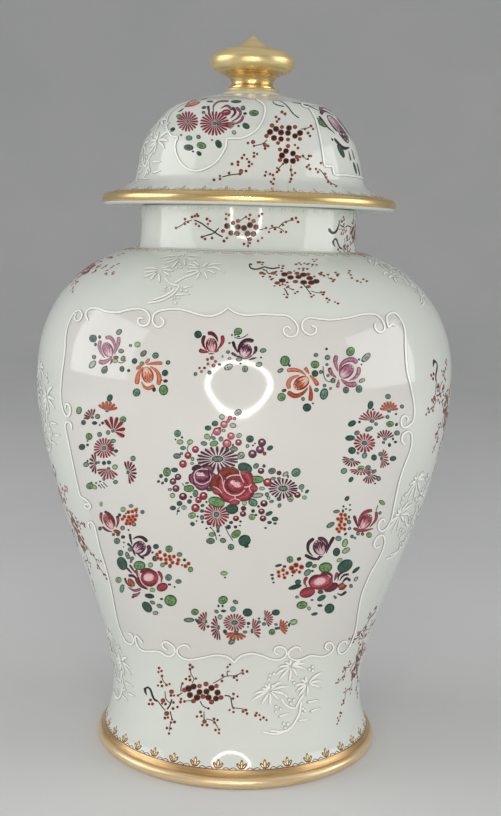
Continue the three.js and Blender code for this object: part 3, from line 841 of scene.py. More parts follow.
body_plum, neck_plum, cover_plum = plum(BODY_PLUM, 3.3), plum(NECK_PLUM, 3.0), plum(COVER_PLUM, 3.0)
shoulder_plum = plum(SHOULDER_PLUM, 3.5, 0.66)
neck_hook = Drawing()
neck_hook.stroke("manganese_black", NECK_HOOK, 4.2, BRANCH_LOAD, "comma", 0.09)
for dab in NECK_HOOK_DABS:
    neck_hook.stroke("plum_brown", dab, 1.5, BRANCH_LOAD, "swell", 0.08)

# The flower sprays
# Inside each frame eight sprays and a bouquet are painted in glass enamels: leaves from deep teal to apple
# green, roses, tulips and daisies in rose pink, mauve and iron red, berries and heather. The enamel pools
# along each edge.

# The painter's mixtures: a pigment, and how thick it lies at a stroke's edge, inside it and along its middle
MIXTURES = {
    "deep": ("teal_enamel", (1, 0.86, 0.74)), "teal": ("teal_enamel", (1, 0.56, 0.46)),
    "dark": ("teal_enamel", (1, 1, 0.9)), "grey": ("grey_enamel", (0.98, 0.6, 0.48)),
    "pale": ("grey_enamel", (0.98, 0.4, 0.25)), "apple": ("apple_enamel", (1, 0.66, 0.54)),
    "olive": ("apple_enamel", (1, 0.5, 0.34)), "crimson": ("rose_enamel", (0.95, 0.76, 0.62)),
    "berry": ("mauve_enamel", (0.98, 0.76, 0.6)), "pale_berry": ("rose_enamel", (0.9, 0.56, 0.42)),
    "maroon": ("rose_enamel", (1, 0.96, 0.88)), "pink": ("rose_enamel", (0.86, 0.56, 0.46)),
    "dusty": ("mauve_enamel", (0.72, 0.46, 0.38)),
    "mauve": ("mauve_enamel", (0.85, 0.6, 0.48)), "purple": ("mauve_enamel", (0.98, 0.84, 0.72)),
    "aubergine": ("mauve_enamel", (1, 1, 0.9)), "floret": ("iron_red", (0.42, 0.86, 1.0)),
    "orange": ("iron_red", (0.84, 0.54, 0.42)), "red": ("iron_red", (0.95, 0.78, 0.64)),
    "brown": ("plum_brown", (0.85, 0.72, 0.6)),
    "lobe": ("rose_enamel", (0.98, 0.87, 0.54)), "mauve_lobe": ("mauve_enamel", (0.96, 0.85, 0.46)),
    "red_lobe": ("iron_red", (1, 0.98, 0.86)),
    "blush": ("rose_enamel", (0.2, 0.14, 0.06)), "lilac": ("mauve_enamel", (0.2, 0.14, 0.06)),
    "black": ("manganese_black", (1, 1, 0.95)),
}
# A leaf is (x, y, long, wide, turn), a dot (x, y, radius), a line (mixture, width, points, shape), and a
# daisy (mixture, x, y, core across, core up, reach across, reach up, petals, first petal, last petal). A leaf
# that isn't turned leaves out its turn, a round one its width too, a floret its radius, and a comma or a thin
# line its shape
TOP_SPRAYS = {
    "leaves": {
        "deep": [(93, 338.5, 8, 7.5), (122, 369, 6, 5, 90), (134.5, 361, 6, 5.5, 60), (165, 373, 7, 6, 50),
                 (198, 334.5, 8, 7.5, 10), (209.5, 372.5, 4.5), (315, 373.5, 7, 6.5, -50),
                 (307, 407.5, 9, 8, 30)],
        "dark": [(99.6, 337, 3, 4), (95.5, 344.5, 3, 4), (128.5, 370.5, 3.5), (106.5, 366.5, 2),
                 (161.5, 380, 2), (165.5, 381, 5, 3.5), (154, 389.5, 5, 4, 90), (232, 335, 2, 2.5),
                 (235, 335, 2), (238.5, 336.5, 3.5, 2), (229.5, 343, 3, 2, 20), (219.5, 364.5, 3.5, 3),
                 (240.5, 363.5, 2.5, 2), (261, 357.5, 2.5, 2), (289.5, 365.5, 3), (326.5, 349, 3),
                 (313, 403.5, 2.5, 2), (284, 390.5, 5.5, 3.5, 10), (359, 359.5, 2.5), (361.5, 364.5, 2)],
        "grey": [
            (119, 332, 7, 5, 45), (121, 351, 6, 4.5), (123, 358.5, 6, 4.5, 60), (94, 357, 4.5),
            (130.5, 345.5, 3.5, 3), (143.5, 353.5, 8, 5, 45), (168, 362.5, 5, 4.5, 10),
            (104.5, 370, 8, 6, 65), (228, 352, 4.5, 3.5), (195.5, 374, 4), (239, 359.5, 6.5, 4),
            (259, 364.5, 7, 5, 10), (280.5, 370.5, 7, 4, 30), (327, 364.5, 3.5, 3), (321, 372, 4.5, 4),
            (328, 375.5, 3.5, 3), (333, 380.5, 5.5, 5, 90), (316.5, 390, 5, 4), (324.5, 385.5, 4, 3.5),
            (330.5, 388.5, 3.5, 2.5, 45), (303, 399, 4), (346, 390, 6.5),
        ],
        "teal": [(155.5, 355.5, 7, 6, 25), (136.5, 392.5, 8.5, 7.5, 60), (245, 369, 6.5),
                 (263, 350.5, 7, 4.5, 10), (316, 355, 5, 4, 20), (327.5, 357.5, 6, 5, 10),
                 (324, 394, 12, 8, 75), (359, 389, 8, 6.5, 80)],
        "pale": [(92.5, 364.5, 9.5, 5.5, 50), (222.5, 356.5, 3, 2, 90), (229.5, 358.5, 4, 3),
                 (228.5, 367, 9.5, 6, 25), (366, 357.5, 12, 6, 45), (362, 380.5, 7, 4, 25)],
        "apple": [
            (142, 363.5, 5, 4), (163.5, 390, 11, 9, 90), (238, 331.5, 9, 7, 20), (285, 361, 11, 9.5, 80),
            (315, 364.5, 9, 7.5, 5), (281.5, 397, 9, 8, 50), (350.5, 351.5, 10, 8, 55),
        ],
        "olive": [(137.5, 344.5, 6.5, 5.5, 20), (115, 361, 6, 4)],
    },
    "dots": {
        "crimson": [(207.5, 359.5, 1.6), (212, 358, 2.1), (208, 364, 1.6), (215.5, 361.5, 1.6),
                    (213.5, 365.5, 2.1)],
        "maroon": [(199.5, 368, 1.4), (204.5, 368, 1.6)], "pink": [(201.5, 371.5, 1.6)],
    },
    "lines": [
        ("dusty", 4.9, [100.5, 340.3, 99.3, 346, 101, 352.5, 105, 358]),
        ("dusty", 5.3, [105.3, 338.3, 109.5, 337.2, 113, 340.5, 115, 346.5, 114.3, 353]),
        ("dusty", 5.3, [118.8, 336.8, 118.3, 343, 116.3, 349, 114.3, 354.5]),
        ("dusty", 6.3, [98.8, 361, 103, 362.3, 108.5, 360, 112.3, 357]),
        ("brown", 4, [113, 357.5, 118.7, 357.5], "dab"), ("maroon", 3.2, [112.7, 359, 110, 364.7]),
        ("dark", 1, [118, 362, 122, 363, 126, 360]),
        ("orange", 6.3, [136.7, 384.3, 137.6, 378, 139.3, 372, 143.5, 367]),
        ("orange", 5.3, [154.3, 385.5, 149, 388.3, 144.5, 387, 141.3, 381.5]),
        ("orange", 6.5, [158.3, 385, 159.3, 377.5, 156.5, 371, 150, 366.3]),
        ("orange", 4.9, [162.5, 363.2, 155, 363.3, 146, 364.3]),
        ("orange", 3.2, [145.3, 363.3, 149.7, 358.6], "dab"),
        ("orange", 3.6, [136, 369.3, 142, 365], "dab"),
        ("dark", 1, [234, 337, 239, 338.5, 244, 337, 248, 334]),
        ("maroon", 6, [207.5, 333.2, 212, 333.5, 216, 337, 218, 342]),
        ("maroon", 5.3, [204.8, 335.3, 202.8, 340.5, 203.8, 346, 206.8, 350.5]),
        ("crimson", 5.3, [222.3, 335.3, 222.7, 341, 220.3, 346, 216.8, 350]),
        ("crimson", 5.6, [199, 349.8, 203, 351.5, 209, 352]),
        ("brown", 2.6, [214.5, 352.3, 218.8, 349.5], "dab"),
        ("maroon", 1.6, [208, 353.7, 214.5, 353.5], "swell"),
        ("aubergine", 6.3, [253.8, 341, 247, 340.2, 241.5, 343, 238.8, 347.5, 237.8, 353]),
        ("aubergine", 4.9, [232.8, 341, 234.5, 346.5, 237.7, 352.5]),
        ("purple", 4.9, [255.3, 346, 255.8, 350.5, 252.5, 355]),
        ("purple", 3.9, [231.3, 352.7, 236, 355.7, 240.5, 358.3]),
        ("purple", 1.4, [238.5, 355.5, 243, 358.3, 248, 358, 252.3, 355]),
        ("aubergine", 2.4, [248.5, 360, 253, 358.5, 256.8, 357.7], "swell"),
        ("dark", 1, [323, 366, 324, 376, 326.5, 380.5, 331, 382]),
        ("dusty", 6, [336.4, 355.3, 335.3, 362, 337.8, 371.5]),
        ("dusty", 5.6, [329.2, 367.5, 331.3, 373.3, 336.5, 378]),
        ("dusty", 6.7, [357.3, 363, 352.5, 359.5, 345.5, 360.8, 341, 365, 339.2, 371.5]),
        ("dusty", 5.6, [358.8, 366.8, 358.4, 373, 354.5, 378, 349, 380.5]),
        ("dusty", 7.4, [356.5, 383, 352, 384.7, 346.3, 383.3, 341, 379]),
        ("dusty", 4.6, [337.5, 387.8, 338.8, 379.5]),
        ("orange", 5.6, [286.8, 370.5, 294, 369.8, 301, 371.5, 306.3, 375.7]),
        ("orange", 4.9, [305, 367.5, 309.3, 374]), ("orange", 6, [318, 385.7, 314.5, 380, 309.5, 375]),
        ("red", 5.8, [310.3, 401, 311, 393, 309.7, 385]),
        ("orange", 6, [289.2, 388.8, 288.3, 383, 292, 378, 299.5, 375.2]),
        ("red", 6.7, [287.5, 392, 295, 396, 303, 393, 308, 387.5]),
    ],
    "buds": [("dusty", 107.8, 349.8, 16, 11, 113), ("orange", 147.5, 375, 16.5, 12.5, 285),
             ("maroon", 211.5, 345, 14.5, 12, 97), ("purple", 245.3, 350.5, 14, 14, 70),
             ("dusty", 346.5, 371.3, 17, 13, 45), ("red", 301.3, 383, 17.5, 13, 215)],
}
SIDE_SPRAYS = {
    "leaves": {
        "deep": [
            (109.8, 398, 8, 5.5, 70), (83.5, 422.5, 5), (82, 447, 7, 6, 30), (109, 462.5, 4.5, 4),
            (370.5, 405, 9, 5.5, 75), (352, 423.5, 9, 5.5, 30), (350, 438, 10, 5.5, 5), (352, 450.5, 8, 7),
            (374, 457.5, 6), (393, 458.5, 7, 5, 15), (351, 479.5, 6.5, 4, 50), (347, 498.5, 6, 4, 50),
        ],
        "apple": [(79, 410.5, 8, 5.5, 80), (123, 419.5, 7, 6, 40), (89, 436.5, 7), (90, 486, 8, 6.5),
                  (390, 424, 8, 6, 5), (382, 502.5, 7, 4, -35)],
        "grey": [(97.5, 416.5, 5.5, 5), (108, 432.5, 5, 4, 90), (99.5, 434.5, 5), (98.5, 462.5, 3),
                 (104, 479, 3.5), (115.5, 482, 5, 4), (388, 396.5, 6, 5), (402, 406.5, 4.5, 4, 90),
                 (387.5, 417, 4.5, 4), (376, 424, 4, 3.5), (369, 429, 8.5, 4.5, 25), (357, 433, 6, 4.5, 30),
                 (397, 433, 6, 5, 10), (383.5, 442.5, 3.5, 3), (358, 453, 3), (380.5, 454, 5, 4, 45),
                 (368, 467.5, 6, 4.5, 20), (374, 471.5, 6, 3.5, 35), (378.5, 478.5, 5, 5, 10)],
        "dark": [(94.5, 423, 5.5, 4), (102.5, 423, 3, 3.5), (99.7, 425, 2), (87.5, 441, 2), (87.5, 445, 3),
                 (116, 451, 4.5, 4), (104, 463, 4.5), (87.5, 461, 2.5), (99.5, 473, 3), (113, 479, 2, 1.5),
                 (396, 414, 2.5), (368, 410.5, 3, 2, 90), (373, 409.5, 3, 2, 45), (359.5, 422, 3),
                 (396.5, 424.5, 4, 3, 60), (378.5, 437, 3), (393, 439, 3, 2.5, 90), (395.5, 442, 3.5, 3),
                 (389.5, 445, 4.5, 3.5, 90), (388, 464, 3, 2.5, 45), (375, 483.5, 2.5, 2)],
        "teal": [(113, 441, 6, 4), (86, 464.5, 6, 5), (133, 458.5, 5.5), (131, 506, 5, 3.5),
                 (364.5, 455.5, 6.5, 5, 60), (344, 471, 7, 5.5, 30)],
        "olive": [(115, 467, 6, 5, 20), (94.5, 487, 6, 4, -45), (101, 504, 5, 3, 90),
                  (361, 468, 7, 4.5, 10)],
    },
    "dots": {
        "dark": [(91.5, 482.5, 1.1), (96, 483, 1.1), (100, 481.5, 1.1), (99, 485.5, 1.1)],
        "brown": [(110, 446, 2.3), (112, 449.5, 2.1), (87.5, 417.5, 2.3)],
    },
    "lines": [("dark", 1, [101, 484, 105, 488.5]), ("dark", 1, [103, 482, 107.5, 487]),
              ("dark", 1, [100, 486, 101.5, 488.5]), ("apple", 1.4, [376, 511, 378, 505]),
              ("maroon", 2.6, [110, 452, 116, 456.5])],
    "daisies": [
        ("orange", 107, 411, 3.5, 2.5, 11, 10, 6, 140, 20), ("maroon", 92.5, 417.5, 3, 3, 9, 9, 6, 75, 185),
        ("crimson", 113, 431, 4, 3.5, 12.5, 15, 6, 130, -22),
        ("crimson", 104, 448, 5, 4.5, 10.5, 10.5, 19, 0, 345),
        ("maroon", 96, 463, 2.5, 4, 7, 11, 7, 100, 265),
        ("crimson", 108.5, 468.5, 4, 3, 12, 11, 8, -170, -40),
        ("maroon", 128, 472.5, 3.5, 4, 9, 12, 9, 112, -75),
        ("orange", 389, 411, 4, 3.5, 9.5, 10, 8, 165, 15),
        ("crimson", 372, 421, 5, 4, 14, 10.5, 9, 165, 25),
        ("maroon", 385, 439, 4, 3.5, 10, 9.5, 7, 140, 25),
        ("crimson", 364.5, 443, 6, 5, 11, 10, 16, 0, 342),
        ("crimson", 381.5, 458.5, 3, 4.5, 7, 10, 9, 70, -95),
        ("maroon", 352, 459.5, 4, 3, 10, 7.5, 9, 160, 330),
        ("crimson", 361, 469, 5, 3, 12, 6.5, 9, 190, 350),
        ("maroon", 369, 474, 3.5, 4, 8.5, 10, 7, 225, 345),
    ],
}
LOW_SPRAYS = {
    "leaves": {
        "olive": [
            (123, 509.5, 5.5, 5), (150.5, 565, 5.5, 5), (118.5, 580, 6.5, 6), (152.5, 590, 6, 4),
            (345, 543, 9, 5.5, 70), (346, 550.5, 9, 5, 30), (339.5, 560, 6.5, 3.5, 25), (309, 608.5, 4),
        ],
        "grey": [
            (142.5, 512, 4.5, 4), (134, 524.5, 4.5, 4), (122.5, 528, 5, 4.5, 90), (130, 549.5, 5, 4, -30),
            (120.5, 553, 6), (127.5, 555.5, 8, 4, 110), (132, 558.5, 4.5, 4), (179.5, 554.5, 6, 4.5),
            (131, 561.5, 3), (178.5, 581.5, 6.5, 4.5), (152.5, 602.5, 6, 3.5, -25),
            (336.5, 511.5, 7, 3.5, 10), (330.5, 525, 9.5, 4.5, 30), (349, 522, 4.5),
            (349.5, 528.5, 4, 3, 30), (352, 536.5, 4, 3.5, 60), (355, 538, 3, 2.5, 90),
            (380, 513, 4, 3, 60), (314.5, 566, 5.5, 3.5, 25), (351, 586, 4), (297, 597, 4, 3),
        ],
        "dark": [
            (119.5, 515, 3.5, 4), (128.5, 530, 2.5, 2, 90), (123, 537, 4.5, 4), (124, 542.5, 2),
            (123.5, 547, 1.5), (152.5, 552.5, 2.5), (184.5, 560, 3.5), (169.5, 584.5, 3.5, 2.5),
            (174.5, 587, 2.5, 2), (149.5, 596, 10, 5.5, -10), (161.5, 599, 3.5, 2.5),
            (343, 511, 4, 2.5, 90), (343.5, 506.5, 2.5), (346, 509, 2.5, 2), (350, 510, 3, 2, 30),
            (350, 505, 2), (349, 517, 3.5, 2.5, 90), (345.5, 534, 4, 2.5, 40), (299, 559, 5, 4, 20),
            (278.5, 565.5, 7.5, 3, 15), (284.5, 566.5, 4, 3), (356, 570, 10, 4, 40), (312.5, 571, 3, 2.5),
            (295, 587, 14, 5, 15), (312, 600, 3.5, 2), (320, 605.5, 5.5, 3), (272, 575, 4, 2.5),
            (272.5, 578.5, 3), (273.5, 582.5, 2.5, 2),
        ],
        "deep": [(100, 528.5, 4), (156, 546.5, 6, 5), (155, 558.5, 6, 5.5, 90), (122, 563.5, 14, 10, -65),
                 (147, 607, 13, 8, -50), (336.5, 552, 9, 7, 70), (309, 564.5, 8, 5.5, 35),
                 (345, 566, 17, 11, 35), (298, 582, 6.5, 5, 10), (320.5, 592, 6, 4), (321.5, 598, 10, 5, 30),
                 (329.5, 608.5, 11, 9, 45), (276, 612.5, 8, 6, 10), (314.5, 614, 7, 3, 15)],
        "teal": [(117, 541, 6.5, 6), (168.5, 577.5, 7, 6.5), (122, 588.5, 9, 4.5, 80),
                 (159.5, 606, 6.5, 4, -20), (338.5, 538.5, 6.5, 5), (358, 533.5, 4),
                 (307.5, 572.5, 8.5, 5.5, 40)],
        "apple": [(169, 549, 7.5, 7), (139.5, 565.5, 12.5, 9, -5), (162.5, 565, 5, 4.5), (190.5, 569.5, 5.5),
                  (170.5, 600.5, 13, 11, -20), (369, 535, 6, 5.5), (290, 559.5, 7, 6.5, 10),
                  (325.5, 567.5, 14, 10, 10), (302, 605, 11.5, 7.5, 10)],
        "pale": [(155.5, 613, 6, 4), (356, 579, 6, 3.5, 50)], "brown": [(170, 566, 4)],
    },
    "dots": {
        "floret": [
            (128.5, 512), (132.5, 511.5), (136, 510), (124.5, 516.5), (129, 517, 2.3), (133, 516.5),
            (136.5, 515.5, 2), (122.5, 519, 2), (127.5, 520.5), (131, 519.5), (135, 519.5), (126.5, 523.5),
            (130, 523.5), (133, 522, 2), (160, 552), (165, 555, 2.3), (157, 554.5), (169.5, 556.5),
            (174, 556.5), (161, 559, 2.3), (166, 559.5), (170.5, 559.5), (178.5, 560, 2.3), (172.5, 562.5),
            (177.5, 563.5), (185.5, 566, 2.3), (188.5, 563.5), (166, 563), (158, 558, 2), (341, 514.5),
            (345, 515), (338, 519), (341.5, 518.5), (346, 519, 2), (341, 521.5), (339.5, 525),
            (344.5, 524.5), (337, 529, 2), (341, 528), (344.5, 529, 2), (339, 531.5, 2), (296, 565, 2.9),
            (291.5, 568, 2.9), (301.5, 567, 2.7), (283, 570), (278.5, 572), (287, 573), (283.5, 574.5, 1.4),
            (279, 576, 2), (284.5, 577.5, 2), (293.5, 571.5, 2.6), (296.5, 570, 1.4), (299.5, 572, 2),
        ],
        "maroon": [(137, 508.5, 1.1), (136.5, 512.5, 1), (126, 513.5, 1), (182, 565, 1.2), (133, 597, 1.6),
                   (292.5, 575.5, 1.1)],
        "brown": [(113.5, 534.5, 1.7), (118, 534.5, 1.9), (362.5, 534, 1.8)],
        "black": [(149.5, 576.5, 0.9), (322, 581, 0.9)],
    },
    "lines": [
        ("crimson", 4, [101.5, 512, 100.8, 518, 103.3, 524.5]),
        ("maroon", 4.8, [104.3, 511.3, 110, 515, 113.8, 520, 115.3, 527]),
        ("crimson", 4.2, [117, 515.5, 118.2, 521, 116.3, 528]),
        ("maroon", 4.2, [102, 526.5, 107, 530.5, 112.7, 532]),
        ("brown", 4, [113.3, 530.3, 120.7, 533], "dab"),
        ("aubergine", 5.4, [147.3, 542, 143, 537.8, 137.5, 536.8, 132.8, 539.3]),
        ("aubergine", 4, [129.8, 533.5, 130.5, 539, 132.3, 545.5]),
        ("aubergine", 3.8, [127.3, 543.3, 133, 548.3]), ("aubergine", 3.6, [133, 549.5, 135.3, 556.3]),
        ("aubergine", 3.4, [144.5, 559, 140, 556, 135.5, 552]),
        ("purple", 5.8, [148, 545, 149.3, 550, 146.3, 554.7, 140.5, 556.5]),
        ("crimson", 18, [140.5, 578, 158.5, 578], "dab"),
        ("maroon", 4.8, [140, 572.5, 147.5, 569, 156, 572.5]), ("crimson", 4, [135.8, 569.5, 138.3, 578]),
        ("crimson", 4.4, [157.7, 571, 161.7, 576.5, 161, 583]),
        ("maroon", 8, [136.5, 577.5, 141, 585, 148, 589.5]),
        ("crimson", 9, [156.5, 588.7, 167.8, 585.5], "dab"),
        ("blush", 10, [143.2, 577.7, 154.2, 576.9], "dab"),
        ("blush", 1.2, [156.5, 571, 159, 577, 157.5, 583.5]),
        ("blush", 1.2, [139.5, 571, 140, 578.5, 144, 585, 151, 587.3, 157, 584]),
        ("pink", 1.6, [144.5, 574.2, 149, 571.7, 154.5, 574.7]),
        ("pink", 1, [145, 580.5, 149.5, 582.3, 153.5, 580.5]),
        ("red", 6, [128.3, 578.5, 134.3, 586.5], "dab"),
        ("aubergine", 4.4, [128, 575.3, 134, 576.3, 138, 581.5]),
        ("maroon", 3.6, [124.6, 577.5, 127, 583.5, 132.5, 588]),
        ("mauve", 4, [141, 589, 134.5, 590.5, 128, 587.3]),
        ("mauve", 4.8, [132.3, 595.5, 136.5, 595, 140.5, 592]), ("purple", 2.8, [126.5, 567.5, 132.7, 574]),
        ("purple", 2.8, [129.5, 564.5, 135.8, 573.5]),
        ("aubergine", 5.4, [314, 538.3, 308.5, 543.5, 308.3, 551, 313, 556.3]),
        ("purple", 4.8, [317.7, 538.3, 323.5, 539, 327, 543.5, 326.3, 551]),
        ("aubergine", 5, [334, 536.7, 330, 544, 326, 553.5]),
        ("aubergine", 5, [304.8, 554.7, 311, 558, 317, 559, 323.5, 555.7]),
        ("purple", 2.8, [317.3, 560.3, 320.5, 555.5], "dab"),
        ("crimson", 4.8, [372.3, 510, 364.3, 512.7, 359.5, 519.5, 358.5, 528]),
        ("maroon", 4.6, [354, 515.3, 356, 522, 358.7, 528.3]),
        ("crimson", 4, [376.5, 511.3, 375.7, 519.5, 369.5, 527.3]),
        ("crimson", 4.4, [353.2, 528.4, 362.5, 530.7, 373.5, 528.3]),
        ("pink", 15, [308.8, 584.5, 331, 579], "dab"),
        ("maroon", 4.8, [318.8, 575.5, 312.5, 577.5, 309.3, 582.5, 312, 587.5]),
        ("crimson", 4.4, [307.3, 576.7, 304.3, 581.7, 307, 587.3]),
        ("maroon", 5.4, [320.8, 574.6, 327, 573, 331.7, 575.8, 331, 581.5]),
        ("crimson", 4.6, [331.3, 578, 330, 584.5, 322, 589, 313.5, 588.5]),
        ("crimson", 4.2, [337.5, 572.3, 334.3, 580.7]), ("blush", 8.5, [313.5, 583.3, 326, 579.7], "dab"),
        ("crimson", 10.5, [299.5, 594.8, 315, 590], "dab"),
        ("maroon", 9, [324, 590.5, 338.3, 584.2], "dab"), ("red", 5.8, [338.3, 587.7, 344.7, 584], "dab"),
        ("aubergine", 3.4, [349.2, 574.3, 343.5, 575.3, 339.3, 581]),
        ("aubergine", 3.4, [343.7, 571.5, 339, 575, 337.7, 581]),
        ("aubergine", 4.4, [350.6, 581, 346.3, 578.3, 341.8, 583.3]),
        ("maroon", 3.8, [346.3, 584.7, 343, 589, 338.3, 589.3]),
        ("aubergine", 4.2, [346.5, 591.3, 341.5, 595, 337, 593.2]),
        ("mauve", 3.8, [336.3, 598.5, 333.5, 595.3]),
    ],
    "buds": [("crimson", 108.5, 521.7, 17, 9.5, 122), ("purple", 139, 547.5, 14.5, 13, 40),
             ("purple", 319.6, 547.6, 15.5, 14, 110), ("crimson", 365.8, 521.5, 17, 11, 57)],
}
BOTTOM_SPRAY = {
    "leaves": {
        "apple": [(223, 600, 10, 8, 20), (195, 612, 8, 6.5), (272, 632, 7, 6, 30)],
        "grey": [(235.5, 602, 6, 4, -30), (216.5, 611.5, 5, 3.5, -30), (189, 620, 11, 4.5), (259, 622, 4, 3),
                 (264, 624, 4.5, 3.5), (276, 624.5, 4, 2.5), (245, 632, 5, 3), (231.5, 642, 7, 5, 25),
                 (200, 620, 4, 5)],
        "dark": [(218.5, 606, 2.5, 3), (222.5, 606, 2.5, 3), (197, 621, 6, 3, -50), (223.5, 611, 5.5, 3),
                 (208, 626.5, 3.5, 3), (248.5, 623.5, 4, 3.5), (259, 618.5, 2.5), (248, 627, 2),
                 (276.5, 628.5, 4, 3), (289, 625, 4, 2.5, 90), (287, 622, 2), (225, 631.5, 4.5),
                 (225, 577.5, 2.5, 2)],
        "teal": [(233, 609, 6, 5.5)], "pale": [(220, 617, 5)],
        "olive": [(293.5, 622, 8.5, 5.5, 15), (224, 573.3, 7.5, 4.5)],
        "deep": [(247.5, 612.5, 10, 8), (275.5, 612.5, 8, 5.5, 10)],
    },
    "lines": [("brown", 2, [233, 634, 243, 634], "dab")],
    "daisies": [
        ("crimson", 234.5, 622.5, 7, 5, 11.5, 9, 20, 0, 346),
        ("crimson", 206, 621.5, 3, 4, 9, 10, 9, 90, 255),
        ("maroon", 218.5, 627.5, 3, 5, 8, 13, 9, 115, 280), ("crimson", 252, 631, 3, 5, 9, 13, 7, 80, -30),
        ("crimson", 265, 619, 3, 3.5, 8.5, 9, 9, 90, -60), ("orange", 279, 628, 3, 3, 9, 9, 7, 75, -40),
        ("orange", 236, 632, 5, 3, 12, 9, 7, 195, 325),
    ],
}
